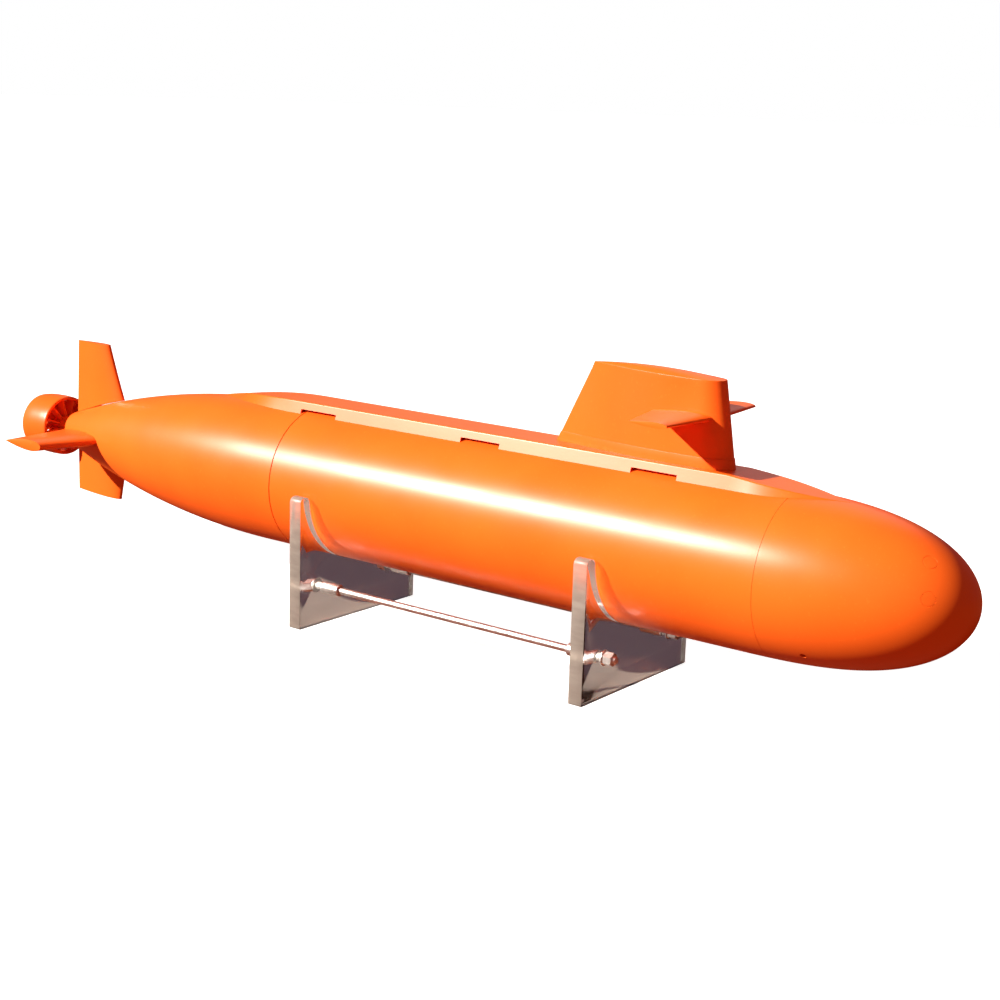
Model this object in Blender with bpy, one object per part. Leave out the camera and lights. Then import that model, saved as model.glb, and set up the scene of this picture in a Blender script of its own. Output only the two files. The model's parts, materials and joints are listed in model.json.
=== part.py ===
"""A radio-controlled model submarine on a clear display stand, as an assembly of separate solids.

X runs along the hull towards the bow, Y to port and Z up. The origin is on the table under the
middle of the model. Pieces of the boat are modelled about the hull's axis and placed at its height.
"""

import math

import bmesh
import bpy
from mathutils import Matrix, Vector

# Hull: a round tube with a blunt bow and a fine tail.
HULL_RADIUS = 0.0625
HULL_WALL = 0.0025
AXIS_HEIGHT = 0.113
NOSE_X = 0.490
BOW_LENGTH = 0.175
BOW_START = NOSE_X - BOW_LENGTH
BOW_FULLNESS = 3.0
BOW_SEAM = 0.350
TAIL_SEAM = -0.1166
TAIL_START = -0.153
TAIL_END = -0.441
TAIL_END_RADIUS = 0.0150
TAIL_FULLNESS = 2.01
GAP = 0.0003

# Deck casing: the flat-topped strip along the hull's crown, heights above the hull's axis.
CASING_FRONT, CASING_FRONT_TAPER, CASING_FRONT_SLOPE = 0.3895, 0.318, 0.300
CASING_REAR, CASING_REAR_TAPER, CASING_REAR_SLOPE = -0.236, -0.122, -0.125
CASING_HALF_WIDTH = 0.0215
CASING_TOP_HALF_WIDTH = 0.018
CASING_TOP = 0.069
CASING_WALL = 0.0017
FLOOD_SLOTS = ((-0.1196, -0.0793), (0.0559, 0.0949), (0.2190, 0.2594))
FLOOD_SLOT_TOP = 0.0627

# Sail: leading edge, trailing edge and half thickness at its foot and at its rim, the edge of its
# domed top, which lifts a little towards the trailing edge.
SAIL_FOOT, SAIL_RIM = CASING_TOP, 0.1340
SAIL_LEADING = (0.2955, 0.2846)
SAIL_TRAILING = (0.1364, 0.1686)
SAIL_HALF_THICKNESS = (0.0126, 0.0108)
SAIL_RIM_LIFT, SAIL_DOME = 0.0012, 0.0039
SAIL_COLLAR_HEIGHT = 0.008
SAIL_WALL = 0.0015

# Control surfaces and their pivots.
RUDDER_PIVOT_X = -0.406
PLANE_PIVOT_X = -0.388
FIN_ROOT_GAP = 0.0004
STOCK_RADIUS = 0.002
CRANK_RADIUS = 0.012
SAIL_PIVOT_X, SAIL_PIVOT_Z = 0.262, 0.10625
SAIL_CRANK_RADIUS = 0.008
SAIL_PLANE_GAP = 0.0010
WIRE_RADIUS = 0.001

# Drive line and propulsor.
SHAFT_RADIUS = 0.002
STERN_TUBE_RADIUS = 0.004
DUCT_FRONT, DUCT_REAR = -0.4536, -0.4885
DUCT_RADIUS = 0.0291
CONE_END = -0.490
VANE_COUNT, VANE_LEAN = 12, math.radians(10.5)
BLADE_COUNT = 7

# Watertight cylinder inside the free-flooding hull.
TUBE_RADIUS, TUBE_BORE = 0.045, 0.042
TUBE_REAR, TUBE_FRONT = -0.060, 0.295
MOTOR_RADIUS = 0.014
TRAY_TOP = -0.010

# Stand.
PLATE_HALF_WIDTH = 0.074
PLATE_THICKNESS = 0.012
PLATE_FRONT_X, PLATE_REAR_X = 0.2075, -0.0808
CRADLE_RADIUS = 0.0635
CRADLE_GAP = 0.0004
STAND_ROD_Y, STAND_ROD_Z = 0.046, 0.0325
STAND_ROD_RADIUS = 0.003

ROUND = 40
MATERIALS = {
    "hull_paint": ((0.95, 0.20, 0.02), 0.32, 0.0),
    "clear_acrylic": ((0.80, 0.84, 0.85), 0.08, 0.0),
    "stainless_steel": ((0.62, 0.63, 0.65), 0.25, 1.0),
    "brass": ((0.72, 0.52, 0.22), 0.30, 1.0),
    "black_rubber": ((0.02, 0.02, 0.02), 0.70, 0.0),
    "black_plastic": ((0.03, 0.03, 0.035), 0.45, 0.0),
    "white_plastic": ((0.80, 0.80, 0.78), 0.40, 0.0),
    "aluminium": ((0.70, 0.71, 0.72), 0.30, 1.0),
    "lead": ((0.20, 0.20, 0.22), 0.60, 1.0),
    "battery_wrap": ((0.05, 0.16, 0.50), 0.35, 0.0),
    "tray_board": ((0.55, 0.43, 0.24), 0.55, 0.0),
}


def clear_scene():
    for leftover in list(bpy.data.objects):
        bpy.data.objects.remove(leftover)


def material(name):
    """The named material, made the first time it is asked for."""
    if name in bpy.data.materials:
        return bpy.data.materials[name]
    colour, roughness, metallic = MATERIALS[name]
    made = bpy.data.materials.new(name)
    made.use_nodes = True
    shader = made.node_tree.nodes["Principled BSDF"]
    shader.inputs["Base Color"].default_value = (*colour, 1.0)
    shader.inputs["Roughness"].default_value = roughness
    shader.inputs["Metallic"].default_value = metallic
    return made


def place(name, bm, finish, location=(0, 0, AXIS_HEIGHT)):
    """Turn a bmesh into a named object at its location, smooth apart from its real edges."""
    bmesh.ops.remove_doubles(bm, verts=bm.verts, dist=1e-7)
    bmesh.ops.recalc_face_normals(bm, faces=bm.faces)
    mesh = bpy.data.meshes.new(name)
    bm.to_mesh(mesh)
    bm.free()
    mesh.materials.append(material(finish))
    mesh.shade_smooth()
    mesh.set_sharp_from_angle(angle=math.radians(35))
    made = bpy.data.objects.new(name, mesh)
    made.location = location
    bpy.context.collection.objects.link(made)
    return made


def boolean(target, tool, operation="DIFFERENCE"):
    """Cut the tool from the target, or unite them; the tool stays behind as a hidden guide."""
    modifier = target.modifiers.new(tool.name, "BOOLEAN")
    modifier.operation = operation
    modifier.object = tool
    tool.hide_render = True
    tool.display_type = "WIRE"


# --- Shapes shared by several pieces -------------------------------------------------------


def spin(outline, segments, axis, angle=math.tau):
    """A bmesh turned from a closed outline of (distance along the axis, radius) points.

    An outline that touches the axis has those points next to each other.
    """
    side = Vector((0, 0, 1)) if axis.x else Vector((1, 0, 0))
    bm = bmesh.new()
    verts = [bm.verts.new(axis * along + side * radius) for along, radius in outline]
    pairs = zip(outline, outline[1:] + outline[:1], verts, verts[1:] + verts[:1])
    edges = [bm.edges.new((a, b)) for start, end, a, b in pairs if start[1] or end[1]]
    geometry = verts + edges
    if angle < math.tau:
        face = bm.faces.new(verts)
        geometry.append(face)
    bmesh.ops.spin(
        bm, geom=geometry, cent=(0, 0, 0), axis=axis, angle=angle, steps=segments,
        use_merge=angle >= math.tau,
    )
    return bm


def turned(name, outline, finish, segments=ROUND, axis=(1, 0, 0), location=(0, 0, AXIS_HEIGHT)):
    return place(name, spin(list(outline), segments, Vector(axis)), finish, location)


def ring_outline(start, end, inner, outer):
    return [(start, inner), (end, inner), (end, outer), (start, outer)]


def rod_outline(start, end, radius):
    return [(start, 0), (start, radius), (end, radius), (end, 0)]


def cylinder(name, start, end, radius, finish="hull_paint", segments=16):
    """A plain round bar between two points given about the hull's axis."""
    start, end = Vector(start), Vector(end)
    run = end - start
    bm = bmesh.new()
    turn = run.to_track_quat("Z", "Y").to_matrix().to_4x4()
    bmesh.ops.create_cone(
        bm, cap_ends=True, segments=segments, radius1=radius, radius2=radius, depth=run.length,
        matrix=Matrix.Translation((start + end) / 2) @ turn,
    )
    return place(name, bm, finish)


def block(name, low, high, finish="hull_paint", bevel=0.0, location=(0, 0, AXIS_HEIGHT)):
    """A box between two corners, with its edges bevelled if asked."""
    low, high = Vector(low), Vector(high)
    bm = bmesh.new()
    bmesh.ops.create_cube(bm, size=1, matrix=Matrix.Translation((low + high) / 2)
                          @ Matrix.Diagonal((*(high - low), 1)))
    if bevel:
        bmesh.ops.bevel(bm, geom=bm.edges, offset=bevel, segments=2, profile=0.5, affect="EDGES")
    return place(name, bm, finish, location)


def skin(bm, rings, strips=False):
    """Close a solid over rings of points, each with the same number of points.

    With strips, both ends are closed from side to side along an aerofoil's chord, so that they can
    be curved.
    """
    loops = [[bm.verts.new(point) for point in ring] for ring in rings]
    for near, far in zip(loops, loops[1:]):
        for a, b, c, d in zip(near, near[1:] + near[:1], far[1:] + far[:1], far):
            bm.faces.new((a, b, c, d))
    for loop in (loops[0], loops[-1]):
        if strips:
            for i in range(len(loop) // 2):
                corners = (loop[i], loop[i + 1], loop[-i - 1], loop[-i])
                bm.faces.new(list(dict.fromkeys(corners)))
        else:
            bm.faces.new(loop)


def loft(name, rings, finish="hull_paint", location=(0, 0, AXIS_HEIGHT), strips=False):
    bm = bmesh.new()
    skin(bm, rings, strips)
    return place(name, bm, finish, location)


def profile(s):
    """Half thickness of a symmetrical section at a fraction of its chord. The greatest is 1."""
    return 10 * (0.2969 * s**0.5 - 0.1260 * s - 0.3516 * s**2 + 0.2843 * s**3 - 0.1036 * s**4)


def sail_profile(s):
    """The same for the sail, which has a fuller nose."""
    nose, full = 0.14, 0.3
    return profile(s) if s > full else math.sqrt(1 - max(0.0, 1 - s / nose) ** 2)


def aerofoil(steps, profile=profile):
    """(fraction of the chord, side of the chord line) around a symmetrical section, from its sharp
    trailing edge along one side and back along the other."""
    stations = [(1 - math.cos(math.pi * step / steps)) / 2 for step in range(steps + 1)]
    half = [0.0, *(profile(s) for s in stations[1:-1]), 0.0]
    upper = list(zip(stations, half))
    lower = [(s, -y) for s, y in upper]
    return upper[::-1] + lower[1:-1]


def arch(s):
    """0 at both ends of a chord and 1 at its middle."""
    return 4 * s * (1 - s)


def fin(name, out, normal, root, tip, seat, reach, half_thickness, dome, pivot):
    """A tapered blade whose root follows what it stands on and whose tip is domed.

    root and tip are each (leading edge, trailing edge) in X. Distances out from the pivot's axis
    are seat(x) at the root and reach, at the leading and the trailing edge, at the tip.
    """
    out, normal, pivot = Vector(out), Vector(normal), Vector(pivot)
    rings = []
    for span, fatness, rise in (
        (0.0, 1.0, 0.0), (0.5, 1.0, 0.0), (1.0, 1.0, 0.0), (1.0, 0.85, 0.5), (1.0, 0.5, 0.87),
        (1.0, 0.15, 1.0),
    ):
        leading, trailing = (near + (far - near) * span for near, far in zip(root, tip))
        thick = fatness * (half_thickness[0] * (1 - span) + half_thickness[1] * span)
        ring = []
        for s, side in aerofoil(8):
            x = leading + (trailing - leading) * s
            far = reach[0] * (1 - s) + reach[1] * s + dome * rise * arch(s)
            distance = seat(x) * (1 - span) + far * span
            ring.append(Vector((x - pivot.x, 0, 0)) + out * distance + normal * side * thick)
        rings.append(ring)
    return loft(name, rings, "hull_paint", pivot, strips=True)


def crank_slot(plate, centre, axis, pull):
    """Cut the slot that a bent pushrod end works in, wide enough for the crank's whole swing."""
    centre, pull = Vector(centre), Vector(pull)
    reach = Vector((0.0018, 0.0018, 0.0018)) + pull * 0.0007 + Vector(axis) * 0.004
    boolean(plate, block(f"cut_{plate.name}_slot", centre - reach, centre + reach))


# --- Hull ----------------------------------------------------------------------------------


def hull_radius(x, inset=0.0):
    """Radius of the hull's outside at x, or of its inner wall when inset is the wall's thickness."""
    if x > BOW_START:
        along = min(1.0, (x - BOW_START) / (BOW_LENGTH - inset))
        return (HULL_RADIUS - inset) * math.sqrt(1 - along**BOW_FULLNESS)
    if x < TAIL_START:
        along = (TAIL_START - x) / (TAIL_START - TAIL_END)
        return HULL_RADIUS - (HULL_RADIUS - TAIL_END_RADIUS) * along**TAIL_FULLNESS - inset
    return HULL_RADIUS - inset


def bow_curve(start, steps, inset=0.0):
    """Points of the bow from start to the tip of the nose, evenly spread around its curve."""
    radius, length = HULL_RADIUS - inset, BOW_LENGTH - inset
    first = math.asin(((start - BOW_START) / length) ** (BOW_FULLNESS / 2))
    for step in range(steps):
        turn = first + (math.pi / 2 - first) * step / steps
        yield BOW_START + length * math.sin(turn) ** (2 / BOW_FULLNESS), radius * math.cos(turn)
    yield BOW_START + length, 0


def tail_curve(start, end, steps, inset=0.0):
    for step in range(steps + 1):
        x = start + (end - start) * step / steps
        yield x, hull_radius(x, inset)


def bow_section():
    start = BOW_SEAM + GAP / 2
    outline = list(bow_curve(start, 10)) + list(bow_curve(start, 5, HULL_WALL))[::-1]
    bow = turned("bow_section", outline, "hull_paint")
    for side in (-1, 1):
        drain = cylinder(
            f"cut_drain_{side}", (0.3826, side * 0.035, -0.037), (0.3826, side * 0.047, -0.051),
            0.0025, segments=12)
        boolean(bow, drain)


def mid_hull():
    rear, front = TAIL_SEAM + GAP / 2, BOW_SEAM - GAP / 2
    outer = [(x, hull_radius(x)) for x in (front, 0.338, BOW_START, rear)]
    inner = [(rear, hull_radius(rear, HULL_WALL)), (front, hull_radius(front, HULL_WALL))]
    turned("mid_hull", outer + inner, "hull_paint")


def tail_section():
    start, lip, bore = TAIL_SEAM - GAP / 2, 0.003, STERN_TUBE_RADIUS + GAP
    end_radius = hull_radius(TAIL_END + lip)
    outer = [(start, HULL_RADIUS), *tail_curve(TAIL_START, TAIL_END + lip, 8)]
    rounding = [(TAIL_END + lip * 0.3, end_radius - lip * 0.4), (TAIL_END, end_radius - lip * 1.1)]
    inner = [*tail_curve(TAIL_END + 2 * lip, TAIL_START, 4, HULL_WALL),
             (start, HULL_RADIUS - HULL_WALL)]
    outline = outer + rounding + [(TAIL_END, bore), (TAIL_END + 2 * lip, bore)] + inner
    tail = turned("tail_section", outline, "hull_paint")
    for name, x, reach in (
        ("cut_rudder_stock", RUDDER_PIVOT_X, Vector((0, 0, 0.04))),
        ("cut_plane_stock", PLANE_PIVOT_X, Vector((0, 0.04, 0))),
    ):
        centre = Vector((x, 0, 0))
        boolean(tail, cylinder(name, centre - reach, centre + reach, STOCK_RADIUS + 0.0006))


def joint_rings():
    """The rings inside the hull that the bow and the tail plug onto."""
    outer = HULL_RADIUS - HULL_WALL - 4 * GAP
    turned("tail_coupling_ring", ring_outline(-0.128, -0.104, outer - 0.004, outer),
           "aluminium", 32)
    turned("bow_joint_ring", ring_outline(0.338, 0.362, 0.0545, 0.0574), "white_plastic", 32)


def keel_ballast():
    """A lead strip along the bottom of the hull, a part turn of a flat bar's section."""
    outline = [(0.0, 0.053), (0.0, 0.0593), (0.240, 0.0593), (0.240, 0.053)]
    bm = spin(outline, 8, Vector((1, 0, 0)), math.radians(50))
    bmesh.ops.rotate(bm, verts=bm.verts, matrix=Matrix.Rotation(math.radians(155), 3, "X"))
    place("keel_ballast", bm, "lead")


def casing_taper(x, rear_reach=1.0):
    """1 along the casing's parallel length, falling to 0 at the tips of its plan shape."""
    if x > CASING_FRONT_TAPER:
        return 1 - ((x - CASING_FRONT_TAPER) / (CASING_FRONT - CASING_FRONT_TAPER)) ** 2.1
    if x < CASING_REAR_TAPER:
        along = (CASING_REAR_TAPER - x) / (CASING_REAR_TAPER - CASING_REAR) / rear_reach
        return 1 - min(1.0, along) ** 2.6
    return 1.0


def casing_crown(x):
    """Height of the casing's top, which comes down to the hull at both tips."""
    height = CASING_TOP
    for tip, slope, curl in (
        (CASING_FRONT, CASING_FRONT_SLOPE, 1.05), (CASING_REAR, CASING_REAR_SLOPE, 2.2),
    ):
        along = (x - slope) / (tip - slope)
        if along > 0:
            height -= (CASING_TOP - hull_radius(tip)) * along**curl
    return max(height, hull_radius(x) + 3 * GAP)


def casing_ring(x, inset=0.0, foot=0.004):
    """Section of the casing at x. Its sides run on down by foot inside the hull, which trims them."""
    base = max(0.0006, CASING_HALF_WIDTH * casing_taper(x) - inset)
    top = max(0.0003, CASING_TOP_HALF_WIDTH * casing_taper(x, 0.72) - inset)
    edge = math.sqrt(hull_radius(x) ** 2 - base**2)
    crown = casing_crown(x) - inset
    half = [(base, edge - foot), (base, edge), (min(top, base * 0.9), crown)]
    return [(x, y, z) for y, z in half] + [(x, -y, z) for y, z in half[::-1]]


def stations(start, end, steps):
    return [start + (end - start) * step / steps for step in range(steps + 1)]


def deck_casing():
    rear_taper = stations(CASING_REAR, CASING_REAR_TAPER, 9)
    front_taper = stations(CASING_FRONT_TAPER, CASING_FRONT, 8)
    level = [CASING_FRONT_SLOPE]
    casing = loft("deck_casing", [casing_ring(x) for x in rear_taper + level + front_taper])
    inside = stations(-0.205, CASING_REAR_TAPER, 4) + level + stations(CASING_FRONT_TAPER, 0.345, 2)
    boolean(casing, loft("cut_casing_hollow", [casing_ring(x, CASING_WALL, 0.008) for x in inside]))
    rear, front = CASING_REAR - 0.014, CASING_FRONT + 0.0105
    along = stations(rear, TAIL_START, 6) + stations(BOW_START, front, 5)
    seat = [(rear, 0)] + [(x, hull_radius(x) + GAP) for x in along] + [(front, 0)]
    boolean(casing, turned("cut_casing_seat", seat, "hull_paint"))
    for number, (start, end) in enumerate(FLOOD_SLOTS):
        slot = block(f"cut_flood_slot_{number}", (start, -0.03, 0.050), (end, 0.03, FLOOD_SLOT_TOP))
        boolean(casing, slot)


# --- Sail ----------------------------------------------------------------------------------


def sail_size(height):
    """Leading edge, trailing edge and half thickness of the sail at a height."""
    up = (height - SAIL_FOOT) / (SAIL_RIM - SAIL_FOOT)
    pairs = SAIL_LEADING, SAIL_TRAILING, SAIL_HALF_THICKNESS
    return [low + (high - low) * up for low, high in pairs]


def sail_ring(height, grow=0.0, steps=16):
    """The sail's section at a height, grown or shrunk all round."""
    leading, trailing, thick = sail_size(height)
    leading += grow
    trailing -= grow if grow > 0 else grow * 7
    return [
        (leading + (trailing - leading) * s, (thick + grow) * y, height)
        for s, y in aerofoil(steps, sail_profile)
    ]


def sail_top_ring(inward, steps=16):
    """A ring of the sail's domed top, inward being 0 at its rim and 1 along its middle."""
    leading, trailing, thick = sail_size(SAIL_RIM)
    return [
        (
            leading + (trailing - leading) * s,
            thick * (1 - inward) * y,
            SAIL_RIM + SAIL_RIM_LIFT * s**3 + SAIL_DOME * arch(s) * (1 - (1 - inward) ** 2),
        )
        for s, y in aerofoil(steps, sail_profile)
    ]


def sail():
    collar_top = SAIL_FOOT + SAIL_COLLAR_HEIGHT
    collar = loft("sail_base", [sail_ring(h, 0.0005) for h in (SAIL_FOOT + GAP, collar_top)])
    boolean(collar, loft("cut_collar", [sail_ring(h, -SAIL_WALL) for h in (0.060, 0.085)]))
    walls = [sail_ring(collar_top + GAP), sail_ring(0.1080)]
    top = [sail_top_ring(inward) for inward in (0.0, 0.2, 0.5, 0.9)]
    tower = loft("sail", walls + top, strips=True)
    inside = [sail_ring(h, -SAIL_WALL, 12) for h in (0.070, SAIL_RIM - 0.002)]
    boolean(tower, loft("cut_sail_hollow", inside))
    boolean(tower, cylinder("cut_sail_shaft", (SAIL_PIVOT_X, -0.02, SAIL_PIVOT_Z),
                            (SAIL_PIVOT_X, 0.02, SAIL_PIVOT_Z), 0.0021, segments=12))


def sail_plane_seat(x):
    """Distance out of the sail planes' roots, a gap clear of the sail's side."""
    leading, trailing, thick = sail_size(SAIL_PIVOT_Z)
    return thick * sail_profile((leading - x) / (leading - trailing)) + SAIL_PLANE_GAP


def sail_planes():
    """Both sail planes, the shaft through the sail that joins them, and what drives it."""
    pivot = Vector((SAIL_PIVOT_X, 0, AXIS_HEIGHT + SAIL_PIVOT_Z))
    for name, side in (("sail_plane_port", 1), ("sail_plane_starboard", -1)):
        plane = fin(name, (0, side, 0), (0, 0, 1), (0.2805, 0.2300), (0.2752, 0.2424),
                    sail_plane_seat, (0.0634, 0.0634), (0.0031, 0.0021), 0.0008, pivot)
        boolean(plane, cylinder(f"cut_{name}", (SAIL_PIVOT_X, 0, SAIL_PIVOT_Z),
                                (SAIL_PIVOT_X, side * 0.024, SAIL_PIVOT_Z), 0.0018, segments=12))
    shaft = turned("sail_plane_shaft", rod_outline(-0.0232, 0.0232, 0.0015), "stainless_steel", 12,
                   (0, 1, 0), pivot)
    low = SAIL_PIVOT_Z - SAIL_CRANK_RADIUS - 0.004
    horn = block("add_sail_horn", (SAIL_PIVOT_X - 0.003, -0.0008, low),
                 (SAIL_PIVOT_X + 0.003, 0.0008, SAIL_PIVOT_Z))
    boolean(shaft, horn, "UNION")
    pin_z = SAIL_PIVOT_Z - SAIL_CRANK_RADIUS
    crank_slot(shaft, (SAIL_PIVOT_X, 0, pin_z), (0, 1, 0), (0, 0, 1))
    block("sail_servo", (0.198, -0.0045, 0.090), (0.224, 0.0045, 0.108), "black_plastic", 0.0008)
    pushrod("sail_link", [(0.2280, -0.0035, pin_z), (SAIL_PIVOT_X, -0.0035, pin_z),
                          (SAIL_PIVOT_X, 0.0018, pin_z)], 0.0007)


def pushrod(name, points, radius=WIRE_RADIUS):
    """A steel wire with bent ends, its points given about the hull's axis."""
    curve = bpy.data.curves.new(name, "CURVE")
    curve.dimensions = "3D"
    curve.bevel_depth = radius
    curve.bevel_resolution = 2
    curve.use_fill_caps = True
    line = curve.splines.new("POLY")
    line.points.add(len(points) - 1)
    for spot, point in zip(line.points, points):
        spot.co = (*point, 1)
    curve.materials.append(material("stainless_steel"))
    made = bpy.data.objects.new(name, curve)
    made.location.z = AXIS_HEIGHT
    bpy.context.collection.objects.link(made)


# --- Tail surfaces -------------------------------------------------------------------------


def hull_seat(x):
    """Distance out of a fin's root, a gap clear of the tail cone."""
    return hull_radius(x) + FIN_ROOT_GAP


def rudders():
    pivot = Vector((RUDDER_PIVOT_X, 0, 0))
    at = pivot + Vector((0, 0, AXIS_HEIGHT))
    for name, side, root, tip, reach, dome in (
        ("rudder_upper", 1, (-0.3700, -0.4376), (-0.3893, -0.4344), (0.0868, 0.0872), 0.0004),
        ("rudder_lower", -1, (-0.3708, -0.4378), (-0.3764, -0.4380), (0.0618, 0.0602), 0.0006),
    ):
        blade = fin(name, (0, 0, side), (0, 1, 0), root, tip, hull_seat, reach,
                    (0.0050, 0.0042), dome, at)
        boolean(blade, cylinder(f"cut_{name}", (RUDDER_PIVOT_X, 0, 0),
                                (RUDDER_PIVOT_X, 0, side * 0.050), STOCK_RADIUS + GAP, segments=12))
    yoke = turned("rudder_yoke", rod_outline(0.009, 0.049, STOCK_RADIUS), "brass", 12,
                  (0, 0, 1), at)
    boolean(yoke, cylinder("add_lower_rudder_stock", pivot + Vector((0, 0, -0.009)),
                           pivot + Vector((0, 0, -0.049)), STOCK_RADIUS, segments=12), "UNION")
    for name, low, high in (
        ("add_rudder_bridge_top", (-0.0025, -0.0025, 0.009), (0.0025, 0.011, 0.012)),
        ("add_rudder_bridge_side", (-0.0025, 0.008, -0.012), (0.0025, 0.011, 0.0115)),
        ("add_rudder_bridge_low", (-0.0025, -0.0025, -0.0119), (0.0025, 0.0105, -0.009)),
        ("add_rudder_horn", (-0.0033, 0.007, 0.0110), (0.0033, 0.0165, 0.0125)),
    ):
        boolean(yoke, block(name, pivot + Vector(low), pivot + Vector(high)), "UNION")
    crank_slot(yoke, pivot + Vector((0, CRANK_RADIUS + 0.0010, 0.012)), (0, 0, 1), (0, 1, 0))


def stern_planes():
    pivot = Vector((PLANE_PIVOT_X, 0, 0))
    at = pivot + Vector((0, 0, AXIS_HEIGHT))
    for name, side in (("stern_plane_port", 1), ("stern_plane_starboard", -1)):
        blade = fin(name, (0, side, 0), (0, 0, 1), (-0.3690, -0.4405), (-0.3855, -0.4357),
                    hull_seat, (0.0882, 0.0882), (0.0056, 0.0052), 0.0015, at)
        boolean(blade, cylinder(f"cut_{name}", (PLANE_PIVOT_X, 0, 0),
                                (PLANE_PIVOT_X, side * 0.052, 0), STOCK_RADIUS + GAP, segments=12))
    yoke = turned("stern_plane_yoke", rod_outline(0.009, 0.051, STOCK_RADIUS), "brass", 12,
                  (0, 1, 0), at)
    boolean(yoke, cylinder("add_starboard_stock", pivot + Vector((0, -0.009, 0)),
                           pivot + Vector((0, -0.051, 0)), STOCK_RADIUS, segments=12), "UNION")
    for name, low, high in (
        ("add_plane_bridge_port", (-0.0025, 0.009, -0.011), (0.0025, 0.012, 0.0025)),
        ("add_plane_bridge_low", (-0.0025, -0.0121, -0.0109), (0.0025, 0.0115, -0.008)),
        ("add_plane_bridge_side", (-0.0025, -0.012, -0.0105), (0.0025, -0.009, 0.0024)),
        ("add_plane_horn", (-0.0033, -0.0119, 0.001), (0.0033, -0.0104, 0.0165)),
    ):
        boolean(yoke, block(name, pivot + Vector(low), pivot + Vector(high)), "UNION")
    crank_slot(yoke, pivot + Vector((0, -0.0112, CRANK_RADIUS + 0.0010)), (0, 1, 0), (0, 0, 1))


# --- Drive line and propulsor --------------------------------------------------------------


def blades(count, sections, lean=0.0):
    """Blades round the X axis. Each section is (x, radius, chord, pitch angle, half thickness)."""
    bm = bmesh.new()
    for number in range(count):
        turn = Matrix.Rotation(math.tau * number / count + lean, 3, "X")
        rings = []
        for x, radius, chord, pitch, thick in sections:
            along = Vector((math.cos(pitch), math.sin(pitch), 0)) * chord / 2
            across = Vector((-math.sin(pitch), math.cos(pitch), 0)) * thick
            middle = Vector((x, 0, radius))
            corners = (along, across, -along, -across)
            rings.append([turn @ (middle + corner) for corner in corners])
        skin(bm, rings)
    return bm


def propulsor():
    """Fixed vanes, the duct they carry, and the propeller behind them."""
    hub = turned("stator", [
        (TAIL_END - GAP, 0.0125), (-0.452, 0.0103), (-0.463, 0.0085),
        (-0.463, STERN_TUBE_RADIUS + GAP), (TAIL_END - GAP, STERN_TUBE_RADIUS + GAP),
    ], "hull_paint", 24)
    vane_sections = [(-0.4570, 0.0070, 0.0100, 0.0, 0.0009), (-0.4592, 0.0250, 0.0092, 0.20, 0.0008)]
    vanes = blades(VANE_COUNT, vane_sections, VANE_LEAN)
    boolean(hub, place("add_vanes", vanes, "hull_paint"), "UNION")
    turned("duct", [
        (DUCT_FRONT, 0.0274), (DUCT_FRONT - 0.0012, 0.0287), (-0.466, DUCT_RADIUS),
        (-0.478, DUCT_RADIUS - 0.0003), (DUCT_REAR, 0.0274), (DUCT_REAR, 0.0266),
        (-0.474, 0.0252), (-0.459, 0.0251), (DUCT_FRONT - 0.0012, 0.0258),
    ], "hull_paint", 40)
    hub = turned("propeller", [
        (-0.4635, SHAFT_RADIUS + GAP), (-0.4635, 0.0080), (-0.4790, 0.0078),
        (-0.4790, SHAFT_RADIUS + GAP),
    ], "hull_paint", 24)
    sections = [
        (-0.4712, 0.0068, 0.0080, 0.72, 0.0011), (-0.4712, 0.0150, 0.0148, 0.95, 0.0008),
        (-0.4712, 0.0230, 0.0185, 1.12, 0.0006),
    ]
    boolean(hub, place("add_screw_blades", blades(BLADE_COUNT, sections), "hull_paint"), "UNION")
    turned("propeller_nut", [
        (-0.4793, 0.0072), (-0.4840, 0.0058), (-0.4880, 0.0034), (CONE_END, 0),
        (-0.4878, 0), (-0.4878, SHAFT_RADIUS + GAP), (-0.4793, SHAFT_RADIUS + GAP),
    ], "brass", 20)


def drive_line():
    turned("propeller_shaft", rod_outline(-0.4874, -0.0286, SHAFT_RADIUS), "stainless_steel", 14)
    turned("stern_tube", ring_outline(-0.4630 + GAP, -0.330, SHAFT_RADIUS + 0.0004,
                                      STERN_TUBE_RADIUS), "brass", 16)
    turned("shaft_coupling", ring_outline(-0.046, -0.0290, SHAFT_RADIUS + GAP, 0.006),
           "aluminium", 20)
    turned("drive_motor", rod_outline(-0.028, 0.010, MOTOR_RADIUS), "stainless_steel", 28)
    turned("motor_mount", [
        (-0.0497, 0.0065), (-0.0497, 0.0172), (-0.004, 0.0172), (-0.004, MOTOR_RADIUS + GAP),
        (-0.0467, MOTOR_RADIUS + GAP), (-0.0467, 0.0065),
    ], "white_plastic", 28)
    turned("shaft_seal", [
        (-0.072, SHAFT_RADIUS + 0.0004), (-0.072, 0.0075), (-0.0663, 0.0075), (-0.0663, 0.0050),
        (-0.0505, 0.0050), (-0.0505, SHAFT_RADIUS + 0.0004),
    ], "brass", 20)


# --- Watertight cylinder and what it holds -------------------------------------------------


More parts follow.
